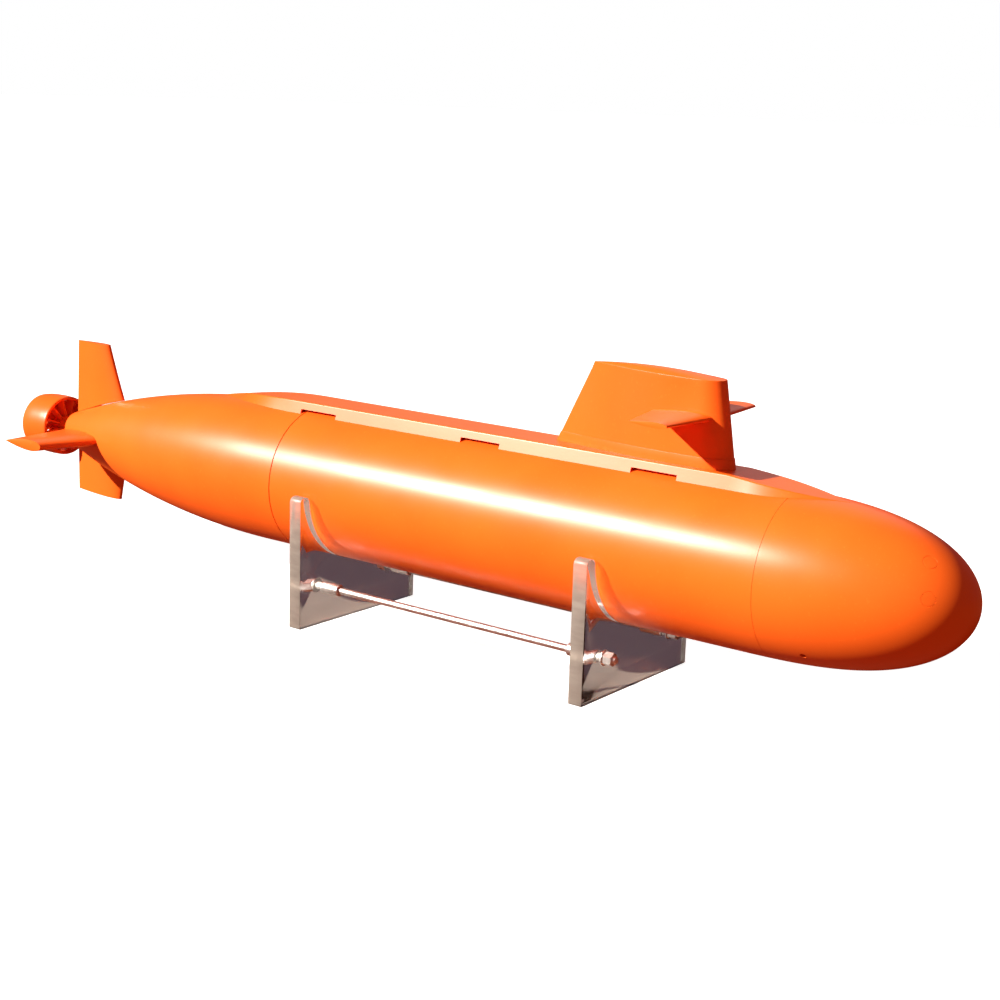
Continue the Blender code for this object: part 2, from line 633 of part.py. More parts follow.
def end_caps():
    """A plug with an O-ring groove in each end of the tube."""
    plug, groove, lip = TUBE_BORE - 2 * GAP, 0.0382, TUBE_RADIUS
    for name, mouth, inward, bore in (
        ("rear", TUBE_REAR, 1, 0.0053), ("front", TUBE_FRONT, -1, 0.0),
    ):
        steps = (
            (-0.006, bore), (-0.006, lip - 0.0008), (-0.0052, lip), (-GAP, lip), (-GAP, plug),
            (0.0035, plug), (0.0035, groove), (0.0065, groove), (0.0065, plug), (0.010, plug),
            (0.010, bore),
        )
        cap = turned(f"{name}_end_cap", [(mouth + inward * x, r) for x, r in steps],
                     "aluminium", 28)
        middle = mouth + inward * 0.005
        ring = [(middle + 0.00125 * math.cos(turn), 0.0402 + 0.0013 * math.sin(turn))
                for turn in stations(0, math.tau * 4 / 5, 4)]
        turned(f"{name}_o_ring", ring, "black_rubber", 24)
        if bore:
            for number, (y, z) in enumerate(((CRANK_RADIUS, 0.016), (-0.016, CRANK_RADIUS))):
                hole = cylinder(f"cut_pushrod_{number}", (mouth - 0.02, y, z),
                                (mouth + 0.02, y, z), WIRE_RADIUS + GAP, segments=10)
                boolean(cap, hole)


def watertight_cylinder():
    turned("pressure_tube", ring_outline(TUBE_REAR, TUBE_FRONT, TUBE_BORE, TUBE_RADIUS),
           "clear_acrylic", 36)
    end_caps()
    for name, x in (("rear", -0.040), ("front", 0.262)):
        saddle = turned(f"cylinder_saddle_{name}",
                        ring_outline(x, x + 0.008, TUBE_RADIUS + 2 * GAP, 0.0595),
                        "white_plastic", 32)
        for number in range(4):
            turn = math.tau * (number + 0.5) / 4
            y, z = 0.0525 * math.cos(turn), 0.0525 * math.sin(turn)
            boolean(saddle, cylinder(f"cut_{saddle.name}_{number}", (x - 0.01, y, z),
                                     (x + 0.02, y, z), 0.0045, segments=8))
    block("equipment_tray", (0.014, -0.0385, TRAY_TOP - 0.002), (0.150, 0.0385, TRAY_TOP),
          "tray_board")
    block("battery_pack", (0.012, -0.018, -0.0365), (0.148, 0.018, -0.0125), "battery_wrap", 0.003)
    block("receiver", (0.100, -0.030, TRAY_TOP + GAP), (0.140, -0.006, 0.003), "black_plastic",
          0.001)
    block("speed_controller", (0.100, 0.004, TRAY_TOP + GAP), (0.142, 0.030, 0.002),
          "aluminium", 0.001)


def servos():
    """The two servos on the tray, their arms and the wires to the cranks in the tail."""
    rudder_x, plane_x, wire_height = 0.030, 0.078, 0.016
    block("rudder_servo", (0.020, -0.0065, TRAY_TOP + GAP), (0.050, 0.0065, 0.0090),
          "black_plastic", 0.0008)
    block("plane_servo", (0.068, -0.0100, TRAY_TOP + GAP), (0.098, 0.0135, 0.0065),
          "black_plastic", 0.0008)
    rudder_at = Vector((rudder_x, 0, AXIS_HEIGHT))
    arm = turned("rudder_servo_arm", rod_outline(0.0094, 0.0145, 0.0032), "white_plastic", 14,
                 (0, 0, 1), rudder_at)
    boolean(arm, block("add_rudder_arm", (rudder_x - 0.0033, 0, 0.0110),
                       (rudder_x + 0.0033, 0.0165, 0.0125)), "UNION")
    crank_slot(arm, (rudder_x, CRANK_RADIUS + 0.0010, 0.012), (0, 0, 1), (0, 1, 0))
    plane_at = Vector((plane_x, 0, AXIS_HEIGHT))
    arm = turned("plane_servo_arm", rod_outline(-0.0140, -0.0104, 0.0032), "white_plastic", 14,
                 (0, 1, 0), plane_at)
    boolean(arm, block("add_plane_arm", (plane_x - 0.0033, -0.0119, 0),
                       (plane_x + 0.0033, -0.0104, 0.0165)), "UNION")
    crank_slot(arm, (plane_x, -0.0112, CRANK_RADIUS + 0.0010), (0, 1, 0), (0, 0, 1))
    pushrod("rudder_pushrod", [
        (RUDDER_PIVOT_X, CRANK_RADIUS, 0.0103), (RUDDER_PIVOT_X, CRANK_RADIUS, wire_height),
        (rudder_x, CRANK_RADIUS, wire_height), (rudder_x, CRANK_RADIUS, 0.0103),
    ])
    pushrod("plane_pushrod", [
        (PLANE_PIVOT_X, -0.0097, CRANK_RADIUS), (PLANE_PIVOT_X, -wire_height, CRANK_RADIUS),
        (plane_x, -wire_height, CRANK_RADIUS), (plane_x, -0.0097, CRANK_RADIUS),
    ])


def ballast_tank():
    """A piston tank ahead of the tray, its piston drawn back to empty the tank."""
    bore, rod = 0.028, 0.004
    turned("ballast_tank", [
        (0.165, rod + 0.0005), (0.165, 0.031), (0.283, 0.031), (0.283, 0.005), (0.278, 0.005),
        (0.278, bore), (0.170, bore), (0.170, rod + 0.0005),
    ], "clear_acrylic", 32)
    turned("ballast_piston", [
        (0.160, 0), (0.160, rod), (0.1705, rod), (0.1705, bore - GAP), (0.1805, bore - GAP),
        (0.1805, 0),
    ], "black_plastic", 32)


# --- Stand ---------------------------------------------------------------------------------


def stand_plate(name, x):
    """A clear plate with a round cradle cut in its top for the hull, standing across the model."""
    cradle_height = AXIS_HEIGHT + CRADLE_RADIUS - HULL_RADIUS - CRADLE_GAP
    top = AXIS_HEIGHT
    start = math.asin((top - cradle_height) / CRADLE_RADIUS)
    arc = [(CRADLE_RADIUS * math.cos(turn), cradle_height + CRADLE_RADIUS * math.sin(turn))
           for turn in stations(start, -math.pi - start, 36)]
    outline = [(-PLATE_HALF_WIDTH, 0.0), (PLATE_HALF_WIDTH, 0.0), (PLATE_HALF_WIDTH, top)]
    outline += arc + [(-PLATE_HALF_WIDTH, top)]
    plate = loft(name, [[(along, y, z) for y, z in outline] for along in (0, PLATE_THICKNESS)],
                 "clear_acrylic", (x, 0, 0))
    for side in (-1, 1):
        height = STAND_ROD_Z - AXIS_HEIGHT
        hole = cylinder(f"cut_{name}_{side}", (x - 0.01, side * STAND_ROD_Y, height),
                        (x + 0.03, side * STAND_ROD_Y, height), STAND_ROD_RADIUS + GAP)
        boolean(plate, hole)


def stand_rods():
    """Threaded rods between the plates, a collar inside and a nut outside each plate."""
    rear_out, rear_in = PLATE_REAR_X, PLATE_REAR_X + PLATE_THICKNESS
    front_in, front_out = PLATE_FRONT_X, PLATE_FRONT_X + PLATE_THICKNESS
    collar, collar_radius, rod, past = 0.020, 0.005, STAND_ROD_RADIUS, 0.0115
    for side_name, side in (("port", 1), ("starboard", -1)):
        at = (0, side * STAND_ROD_Y, STAND_ROD_Z)
        turned(f"stand_rod_{side_name}", [
            (rear_out - past, 0), (rear_out - past, rod), (rear_in + GAP, rod),
            (rear_in + GAP, collar_radius), (rear_in + collar, collar_radius),
            (rear_in + collar, rod), (front_in - collar, rod), (front_in - collar, collar_radius),
            (front_in - GAP, collar_radius), (front_in - GAP, rod), (front_out + past, rod),
            (front_out + past, 0),
        ], "stainless_steel", 12, (1, 0, 0), at)
        for end_name, face, out in (("rear", rear_out, -1), ("front", front_out, 1)):
            washer, far = face + out * 0.0013, face + out * 0.009
            nut = turned(f"stand_nut_{end_name}_{side_name}",
                         rod_outline(washer - out * GAP, far, 0.0055),
                         "stainless_steel", 6, (1, 0, 0), at)
            rim = turned(f"add_washer_{end_name}_{side_name}",
                         rod_outline(face + out * GAP, washer, 0.0062),
                         "stainless_steel", 20, (1, 0, 0), at)
            boolean(nut, rim, "UNION")
            bore = turned(f"cut_nut_{end_name}_{side_name}",
                          rod_outline(face - 0.02, face + 0.02, rod + GAP),
                          "stainless_steel", 16, (1, 0, 0), at)
            boolean(nut, bore)


clear_scene()
bow_section()
mid_hull()
tail_section()
joint_rings()
keel_ballast()
deck_casing()
sail()
sail_planes()
rudders()
stern_planes()
propulsor()
drive_line()
watertight_cylinder()
servos()
ballast_tank()
stand_plate("stand_plate_front", PLATE_FRONT_X)
stand_plate("stand_plate_rear", PLATE_REAR_X)
stand_rods()
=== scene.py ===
"""The looks of a radio-controlled model submarine on its clear display stand.

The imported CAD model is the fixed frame. Each piece that shows is built again here as a fine mesh
that rides on its CAD body and stands for its CAD node. The pieces inside the hull are carried over
with their own finishes. X runs along the hull towards the bow, Y to port and Z up.
"""

import json
import math

import bmesh
import bpy
from mathutils import Matrix, Vector


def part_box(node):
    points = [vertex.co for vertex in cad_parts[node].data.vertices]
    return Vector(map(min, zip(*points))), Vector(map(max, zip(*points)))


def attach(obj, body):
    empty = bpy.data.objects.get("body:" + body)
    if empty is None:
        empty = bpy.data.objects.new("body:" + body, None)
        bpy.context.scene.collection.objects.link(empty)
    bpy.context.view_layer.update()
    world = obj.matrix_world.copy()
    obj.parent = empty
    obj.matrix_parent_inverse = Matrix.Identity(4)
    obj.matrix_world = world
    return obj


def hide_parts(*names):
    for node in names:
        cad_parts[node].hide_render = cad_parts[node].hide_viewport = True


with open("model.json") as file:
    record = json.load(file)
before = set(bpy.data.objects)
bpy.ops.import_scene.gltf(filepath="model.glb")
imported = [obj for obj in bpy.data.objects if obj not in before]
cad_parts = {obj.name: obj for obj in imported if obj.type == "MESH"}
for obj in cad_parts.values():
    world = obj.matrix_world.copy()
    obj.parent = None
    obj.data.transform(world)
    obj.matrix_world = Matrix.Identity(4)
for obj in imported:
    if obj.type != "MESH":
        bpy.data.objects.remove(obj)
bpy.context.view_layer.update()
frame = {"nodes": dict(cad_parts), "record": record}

# --- Driving dimensions, in metres --------------------------------------------------------

middle_low, middle_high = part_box("mid_hull")
AXIS_Z = (middle_low.z + middle_high.z) / 2
HULL_RADIUS = (middle_high.y - middle_low.y) / 2
HULL_WALL = 0.0025
CAD_GAP = 0.0003
BOW_SEAM = middle_high.x + CAD_GAP / 2
TAIL_SEAM = middle_low.x - CAD_GAP / 2
BOW_SEAM_GAP, TAIL_SEAM_GAP = 0.00012, 0.0005
SEAM_CHAMFER = 0.0003

NOSE_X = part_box("bow_section")[1].x
BOW_LENGTH, BOW_FULLNESS = 0.175, 3.0
BOW_START = NOSE_X - BOW_LENGTH
TAIL_START, TAIL_END = -0.153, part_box("tail_section")[0].x
TAIL_END_RADIUS, TAIL_FULLNESS = 0.0150, 2.01

CASING_REAR, CASING_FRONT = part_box("deck_casing")[0].x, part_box("deck_casing")[1].x
CASING_REAR_TAPER, CASING_FRONT_TAPER = -0.122, 0.318
CASING_REAR_SLOPE, CASING_FRONT_SLOPE = -0.125, 0.300
CASING_HALF_WIDTH = 0.0215
CASING_TOP_HALF_WIDTH = 0.018
CASING_TOP = 0.069
CASING_WALL = 0.0017
CASING_EDGE_RADIUS = 0.0009
FLOOD_SLOTS = ((-0.1196, -0.0793), (0.0559, 0.0949), (0.2190, 0.2594))
FLOOD_SLOT_TOP = 0.0627

SAIL_FOOT, SAIL_RIM = CASING_TOP, 0.1340
SAIL_LEADING = (0.2955, 0.2846)
SAIL_TRAILING = (0.1364, 0.1686)
SAIL_HALF_THICKNESS = (0.0126, 0.0108)
SAIL_RIM_LIFT, SAIL_DOME = 0.0012, 0.0039
SAIL_COLLAR_HEIGHT = 0.008
SAIL_WALL = 0.0015
SAIL_EDGE_RADIUS = 0.0004
TOUCHING_GAP = 0.00004

RUDDER_PIVOT_X = -0.406
PLANE_PIVOT_X = -0.388
FIN_ROOT_GAP, SAIL_PLANE_GAP = 0.0002, 0.0006
RUDDER_SWING, PLANE_SWING = math.radians(31), math.radians(26)
STOCK_RADIUS = 0.002
SAIL_PIVOT_X, SAIL_PIVOT_Z = 0.262, 0.10625
BLUNT_EDGE = 0.0002

DUCT_REAR, DUCT_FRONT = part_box("duct")[0].x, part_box("duct")[1].x
CONE_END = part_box("propeller_nut")[0].x
VANE_COUNT, VANE_LEAN = 12, math.radians(10.5)
BLADE_COUNT = 7

plate_low, plate_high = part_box("stand_plate_front")
PLATE_HALF_WIDTH = plate_high.y
PLATE_TOP = plate_high.z
PLATE_THICKNESS = plate_high.x - plate_low.x
CRADLE_RADIUS, CRADLE_GAP = 0.0635, 0.0004
HORN_RADIUS, FOOT_RADIUS, PLATE_BEVEL = 0.0042, 0.0012, 0.00025
rod_low, rod_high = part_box("stand_rod_port")
ROD_Y = (rod_low.y + rod_high.y) / 2
ROD_Z = (rod_low.z + rod_high.z) / 2
ROD_RADIUS, THREAD_PITCH, THREAD_DEPTH = 0.003, 0.001, 0.0005
COLLAR_LENGTH, COLLAR_RADIUS = 0.020, 0.005
NUT_RADIUS, NUT_REACH = 0.0055, 0.009
WASHER_RADIUS, WASHER_THICKNESS = 0.0062, 0.0013

ROUND = 192


# --- Finishes -----------------------------------------------------------------------------


def choose(tree, ray, otherwise, chosen):
    """One shader for the rays of a kind and another for the rest."""
    mix = tree.nodes.new("ShaderNodeMixShader")
    tree.links.new(tree.nodes.new("ShaderNodeLightPath").outputs[ray], mix.inputs[0])
    tree.links.new(otherwise, mix.inputs[1])
    tree.links.new(chosen, mix.inputs[2])
    return mix.outputs[0]


class Finish:
    """A procedural material under construction: a Principled shader and what feeds it."""

    def __init__(self, name, colour, roughness, metallic=0.0, **settings):
        self.material = bpy.data.materials.new(name)
        self.material.use_nodes = True
        self.tree = self.material.node_tree
        self.shader = self.tree.nodes["Principled BSDF"]
        self.place = self.tree.nodes.new("ShaderNodeTexCoord").outputs["Object"]
        self.shader.inputs["Base Color"].default_value = (*colour, 1)
        self.shader.inputs["Roughness"].default_value = roughness
        self.shader.inputs["Metallic"].default_value = metallic
        for socket, value in settings.items():
            self.shader.inputs[socket.replace("_", " ")].default_value = value
        self.colour = colour
        self.normal = None

    def noise(self, scale, detail=3.0, stretch=(1, 1, 1), rough=0.5):
        """A cloudy pattern of about scale cells to the metre, stretched along the axes."""
        mapping = self.tree.nodes.new("ShaderNodeMapping")
        mapping.inputs["Scale"].default_value = stretch
        self.tree.links.new(self.place, mapping.inputs["Vector"])
        pattern = self.tree.nodes.new("ShaderNodeTexNoise")
        pattern.inputs["Scale"].default_value = scale
        pattern.inputs["Detail"].default_value = detail
        pattern.inputs["Roughness"].default_value = rough
        self.tree.links.new(mapping.outputs["Vector"], pattern.inputs["Vector"])
        return pattern.outputs["Fac"]

    def spread(self, value, low, high, from_low=0.3, from_high=0.7):
        """The value's usual range mapped onto low to high."""
        node = self.tree.nodes.new("ShaderNodeMapRange")
        for socket, number in (("From Min", from_low), ("From Max", from_high),
                               ("To Min", low), ("To Max", high)):
            node.inputs[socket].default_value = number
        self.tree.links.new(value, node.inputs["Value"])
        return node.outputs["Result"]

    def tone(self, value, other, from_low=0.35, from_high=0.65, strength=1.0):
        """Mix the base colour towards another colour where the value is high."""
        mix = self.tree.nodes.new("ShaderNodeMix")
        mix.data_type = "RGBA"
        base = self.shader.inputs["Base Color"]
        if base.is_linked:
            self.tree.links.new(base.links[0].from_socket, mix.inputs[6])
        else:
            mix.inputs[6].default_value = (*self.colour, 1)
        mix.inputs[7].default_value = (*other, 1)
        self.tree.links.new(self.spread(value, 0, strength, from_low, from_high), mix.inputs[0])
        self.tree.links.new(mix.outputs[2], base)

    def polish(self, value, low, high):
        self.tree.links.new(self.spread(value, low, high), self.shader.inputs["Roughness"])

    def relief(self, value, height, strength=1.0):
        """Raise the surface by height, in metres, where the value is high."""
        bump = self.tree.nodes.new("ShaderNodeBump")
        bump.inputs["Strength"].default_value = strength
        bump.inputs["Distance"].default_value = height
        self.tree.links.new(value, bump.inputs["Height"])
        if self.normal:
            self.tree.links.new(self.normal, bump.inputs["Normal"])
        self.normal = bump.outputs["Normal"]
        self.tree.links.new(self.normal, self.shader.inputs["Normal"])

    def let_lamps_through(self, tint):
        """Shadow rays pass straight through the glass, so that lamps light what is behind it."""
        nodes = self.tree.nodes
        clear = nodes.new("ShaderNodeBsdfTransparent")
        clear.inputs["Color"].default_value = (*tint, 1)
        seen = choose(self.tree, "Is Shadow Ray", self.shader.outputs[0], clear.outputs[0])
        self.tree.links.new(seen, nodes["Material Output"].inputs["Surface"])


def hull_paint():
    """Satin orange sprayed over filler: soft patches of tone, fine specks and orange peel."""
    finish = Finish("hull_paint", (0.94, 0.140, 0.012), 0.35, Specular_IOR_Level=0.30)
    finish.tone(finish.noise(11, 4), (0.90, 0.122, 0.010))
    finish.tone(finish.noise(420, 2), (0.96, 0.175, 0.020), 0.62, 0.80, 0.5)
    finish.polish(finish.noise(26, 4), 0.31, 0.36)
    finish.relief(finish.noise(620, 2), 0.000022, 0.5)
    finish.relief(finish.noise(38, 3), 0.00012, 0.3)
    return finish.material


def polished_acrylic():
    """The broad faces of a cast sheet, clear with a few hairline scratches and smears."""
    finish = Finish("stand_acrylic", (0.97, 0.975, 0.975), 0.03, Transmission_Weight=1.0, IOR=1.49)
    finish.polish(finish.noise(45, 5), 0.01, 0.07)
    finish.relief(finish.noise(300, 3, (1, 0.12, 2.2)), 0.00001, 0.15)
    finish.let_lamps_through((0.90, 0.91, 0.91))
    return finish.material


def sawn_acrylic():
    """The sheet's cut edges, matt from the saw, with fine marks across the thickness."""
    finish = Finish("stand_acrylic_sawn", (0.38, 0.33, 0.29), 0.45, Transmission_Weight=0.55,
                    IOR=1.49)
    finish.tone(finish.noise(140, 4, (0.5, 1, 2)), (0.46, 0.41, 0.36))
    finish.polish(finish.noise(200, 3), 0.38, 0.55)
    finish.relief(finish.noise(700, 3, (0.15, 1, 1)), 0.00006, 0.5)
    finish.let_lamps_through((0.55, 0.54, 0.52))
    return finish.material


def cradle_acrylic():
    """The cradle's edge, flame polished after the cut."""
    finish = Finish("stand_acrylic_cradle", (0.93, 0.88, 0.84), 0.14, Transmission_Weight=0.95,
                    IOR=1.49)
    finish.polish(finish.noise(120, 4), 0.10, 0.20)
    finish.relief(finish.noise(260, 3, (0.2, 1, 1)), 0.00005, 0.4)
    finish.let_lamps_through((0.80, 0.78, 0.76))
    return finish.material


def clear_acrylic():
    """The watertight cylinder and the ballast tank, drawn tube with faint die lines along it."""
    finish = Finish("clear_acrylic", (0.95, 0.97, 0.98), 0.04, Transmission_Weight=1.0, IOR=1.49)
    finish.polish(finish.noise(60, 4, (0.05, 1, 1)), 0.02, 0.09)
    finish.let_lamps_through((0.9, 0.92, 0.93))
    return finish.material


def metal(name, colour, roughness, stretch, marks=900):
    """Turned or drawn metal, its fine marks running along or round the piece."""
    finish = Finish(name, colour, roughness, 1.0)
    finish.tone(finish.noise(90, 4), tuple(c * 0.82 for c in colour))
    finish.polish(finish.noise(marks, 3, stretch), roughness * 0.8, roughness * 1.25)
    finish.relief(finish.noise(marks, 2, stretch), 0.00001, 0.4)
    return finish.material


def moulded(name, colour, roughness, lift):
    """Moulded plastic or rubber with a fine matt grain."""
    finish = Finish(name, colour, roughness)
    finish.tone(finish.noise(60, 4), tuple(min(1.0, c + lift) for c in colour))
    finish.polish(finish.noise(300, 3), roughness * 0.88, roughness * 1.12)
    finish.relief(finish.noise(1800, 2), 0.00003, 0.5)
    return finish.material


def lead():
    finish = Finish("lead", (0.20, 0.20, 0.215), 0.58, 1.0)
    finish.tone(finish.noise(70, 5), (0.32, 0.32, 0.33))
    finish.polish(finish.noise(110, 4), 0.5, 0.72)
    finish.relief(finish.noise(160, 4), 0.00035, 0.6)
    return finish.material


def battery_wrap():
    """Shrunk film over cells, with shallow creases across the pack."""
    finish = Finish("battery_wrap", (0.03, 0.10, 0.38), 0.30)
    finish.tone(finish.noise(55, 4), (0.05, 0.15, 0.47))
    finish.polish(finish.noise(80, 3), 0.22, 0.38)
    finish.relief(finish.noise(90, 4, (2.2, 0.5, 0.5)), 0.0005, 0.5)
    return finish.material


def tray_board():
    """Glass-cloth board, amber and faintly woven."""
    finish = Finish("tray_board", (0.50, 0.40, 0.20), 0.42)
    finish.tone(finish.noise(900, 1, (1, 0.2, 1)), (0.58, 0.48, 0.27))
    finish.tone(finish.noise(900, 1, (0.2, 1, 1)), (0.43, 0.33, 0.16), strength=0.6)
    finish.polish(finish.noise(150, 3), 0.36, 0.5)
    return finish.material


FINISHES = {
    "hull_paint": hull_paint(),
    "stand_acrylic": polished_acrylic(),
    "clear_acrylic": clear_acrylic(),
    "stainless_steel": metal("stainless_steel", (0.93, 0.93, 0.92), 0.36, (0.08, 1, 1)),
    "brass": metal("brass", (0.80, 0.58, 0.27), 0.27, (1, 0.15, 0.15)),
    "aluminium": metal("aluminium", (0.76, 0.77, 0.78), 0.32, (1, 0.12, 0.12)),
    "black_rubber": moulded("black_rubber", (0.018, 0.018, 0.019), 0.68, 0.012),
    "black_plastic": moulded("black_plastic", (0.025, 0.025, 0.028), 0.44, 0.01),
    "white_plastic": moulded("white_plastic", (0.74, 0.74, 0.71), 0.42, 0.06),
    "lead": lead(),
    "battery_wrap": battery_wrap(),
    "tray_board": tray_board(),
}
SAWN_EDGE, CRADLE_EDGE = sawn_acrylic(), cradle_acrylic()


# --- Mesh tools ---------------------------------------------------------------------------


def steps(start, end, count):
    return [start + (end - start) * step / count for step in range(count + 1)]


def turned(outline, segments=ROUND, at=(0, 0, AXIS_Z)):
    """A solid turned about X from a closed outline of (distance along X, radius) points."""
    bm = bmesh.new()
    loops = []
    for along, radius in outline:
        if radius < 1e-7:
            loops.append([bm.verts.new((along, 0, 0))] * segments)
            continue
        turns = [math.tau * number / segments for number in range(segments)]
        loops.append([bm.verts.new((along, radius * math.sin(turn), radius * math.cos(turn)))
                      for turn in turns])
    for near, far in zip(loops, loops[1:] + loops[:1]):
        for a, b, c, d in zip(near, near[1:] + near[:1], far[1:] + far[:1], far):
            corners = list(dict.fromkeys((a, b, c, d)))
            if len(corners) > 2:
                bm.faces.new(corners)
    bmesh.ops.translate(bm, verts=bm.verts, vec=at)
    return bm


def skinned(rings, at=(0, 0, AXIS_Z), strips=False):
    """A solid over rings of points, each with the same number of points, closed at both ends.

    With strips, the ends are closed from side to side along a section's chord, so that they can be
    curved."""
    bm = bmesh.new()
    loops = [[bm.verts.new(Vector(point) + Vector(at)) for point in ring] for ring in rings]
    for near, far in zip(loops, loops[1:]):
        for a, b, c, d in zip(near, near[1:] + near[:1], far[1:] + far[:1], far):
            bm.faces.new((a, b, c, d))
    for loop in (loops[0], loops[-1]):
        if strips:
            for i in range(len(loop) // 2):
                corners = (loop[i], loop[i + 1], loop[-2 - i], loop[-1 - i])
                bm.faces.new(list(dict.fromkeys(corners)))
        else:
            bm.faces.new(loop)
    return bm


def bar(start, end, radius, segments=48, at=(0, 0, AXIS_Z)):
    """A round bar between two points given about the hull's axis."""
    start, end = Vector(start), Vector(end)
    run = end - start
    bm = bmesh.new()
    place = Matrix.Translation(Vector(at) + (start + end) / 2)
    bmesh.ops.create_cone(
        bm, cap_ends=True, segments=segments, radius1=radius, radius2=radius, depth=run.length,
        matrix=place @ run.to_track_quat("Z", "Y").to_matrix().to_4x4(),
    )
    return bm


def box(low, high, at=(0, 0, AXIS_Z)):
    low, high = Vector(low), Vector(high)
    bm = bmesh.new()
    middle = Matrix.Translation(Vector(at) + (low + high) / 2)
    bmesh.ops.create_cube(bm, size=1, matrix=middle @ Matrix.Diagonal((*(high - low), 1)))
    return bm


def loose(name, bm):
    """An object for the time being, from a bmesh that is used up."""
    bmesh.ops.recalc_face_normals(bm, faces=bm.faces)
    mesh = bpy.data.meshes.new(name)
    bm.to_mesh(mesh)
    bm.free()
    made = bpy.data.objects.new(name, mesh)
    bpy.context.scene.collection.objects.link(made)
    return made


def carved(bm, cutters, operation="DIFFERENCE"):
    """The solid with the cutters taken away from it, or joined to it."""
    solid = loose("carving", bm)
    tools = [loose(f"carving_tool_{number}", cutter) for number, cutter in enumerate(cutters)]
    for tool in tools:
        modifier = solid.modifiers.new(tool.name, "BOOLEAN")
        modifier.solver = "EXACT"
        modifier.operation = operation
        modifier.object = tool
    bpy.context.view_layer.update()
    evaluated = solid.evaluated_get(bpy.context.evaluated_depsgraph_get())
    result = bmesh.new()
    result.from_mesh(evaluated.to_mesh())
    evaluated.to_mesh_clear()
    for used in [solid, *tools]:
        mesh = used.data
        bpy.data.objects.remove(used)
        bpy.data.meshes.remove(mesh)
    return result


def piece(name, bm, body, slot, stands_for=(), sharp=35, finishes=None):
    """A finished piece: its mesh shaded and painted, riding on a CAD body."""
    bmesh.ops.remove_doubles(bm, verts=bm.verts, dist=1e-7)
    bmesh.ops.dissolve_degenerate(bm, edges=bm.edges, dist=1e-7)
    bmesh.ops.recalc_face_normals(bm, faces=bm.faces)
    mesh = bpy.data.meshes.new(name)
    bm.to_mesh(mesh)
    bm.free()
    for finish in finishes or [FINISHES[slot]]:
        mesh.materials.append(finish)
    mesh.shade_smooth()
    mesh.set_sharp_from_angle(angle=math.radians(sharp))
    made = bpy.data.objects.new(name, mesh)
    bpy.context.scene.collection.objects.link(made)
    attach(made, body)
    if stands_for:
        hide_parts(*stands_for)
    return made


# --- Hull ---------------------------------------------------------------------------------


def hull_radius(x, inset=0.0):
    """Radius of the hull's outside at x, or of its inner wall when inset is the wall's thickness."""
    if x > BOW_START:
        along = min(1.0, (x - BOW_START) / (BOW_LENGTH - inset))
        return (HULL_RADIUS - inset) * math.sqrt(1 - along**BOW_FULLNESS)
    if x < TAIL_START:
        along = (TAIL_START - x) / (TAIL_START - TAIL_END)
        return HULL_RADIUS - (HULL_RADIUS - TAIL_END_RADIUS) * along**TAIL_FULLNESS - inset
    return HULL_RADIUS - inset


def hull_normal(x, y, z):
    """The way out from the hull's surface at a point on it, y and z from the hull's axis."""
    radius = math.hypot(y, z)
    if x > BOW_START:
        along = min(1.0, (x - BOW_START) / BOW_LENGTH)
        steep = BOW_FULLNESS * along ** (BOW_FULLNESS - 1) / BOW_LENGTH
        out = 2 * radius / HULL_RADIUS**2
    else:
        reach = 1e-4
        steep = (hull_radius(x - reach) - hull_radius(x + reach)) / (2 * reach)
        out = 1.0
    scale = out / max(radius, 1e-9)
    return Vector((steep, y * scale, z * scale)).normalized()


def true_hull_normals(made):
    """Light the hull's surface as the smooth shape it is, right up to the cuts in it."""
    near_surface, nearly_parallel = 8e-5, 0.95
    mesh = made.data
    normals = [Vector(corner.vector) for corner in mesh.corner_normals]
    for face in mesh.polygons:
        for corner in face.loop_indices:
            x, y, z = mesh.vertices[mesh.loops[corner].vertex_index].co
            z -= AXIS_Z
            if abs(math.hypot(y, z) - hull_radius(x)) < near_surface:
                true = hull_normal(x, y, z)
                if face.normal.dot(true) > nearly_parallel:
                    normals[corner] = true
    mesh.normals_split_custom_set(normals)


def bow_curve(start, count, inset=0.0):
    """Points of the bow from start to the tip of the nose, evenly spread around its curve."""
    radius, length = HULL_RADIUS - inset, BOW_LENGTH - inset
    first = math.asin(((start - BOW_START) / length) ** (BOW_FULLNESS / 2))
    for turn in steps(first, math.pi / 2, count)[:-1]:
        yield BOW_START + length * math.sin(turn) ** (2 / BOW_FULLNESS), radius * math.cos(turn)
    yield BOW_START + length, 0.0


def engraved_ring(x, y, z, radius, line):
    """A fine groove's cutter: a wire ring lying on the hull about a point of it."""
    centre = Vector((x, y, z))
    out = hull_normal(x, y, z)
    aside = out.cross(Vector((1, 0, 0))).normalized()
    up = aside.cross(out)
    count = 72
    path = []
    for number in range(count):
        turn = math.tau * number / count
        point = centre + (aside * math.cos(turn) + up * math.sin(turn)) * radius
        around = math.hypot(point.y, point.z)
        scale = hull_radius(point.x) / around
        path.append(Vector((point.x, point.y * scale, point.z * scale)))
    bm = bmesh.new()
    loops = []
    for number, point in enumerate(path):
        run = (path[(number + 1) % count] - path[number - 1]).normalized()
        rise = hull_normal(*point)
        side = run.cross(rise).normalized()
        loops.append([
            bm.verts.new(point + Vector((0, 0, AXIS_Z))
                         + (side * math.cos(turn) + rise * math.sin(turn)) * line)
            for turn in steps(0, math.tau, 8)[:-1]
        ])
    for near, far in zip(loops, loops[1:] + loops[:1]):
        for a, b, c, d in zip(near, near[1:] + near[:1], far[1:] + far[:1], far):
            bm.faces.new((a, b, c, d))
    return bm


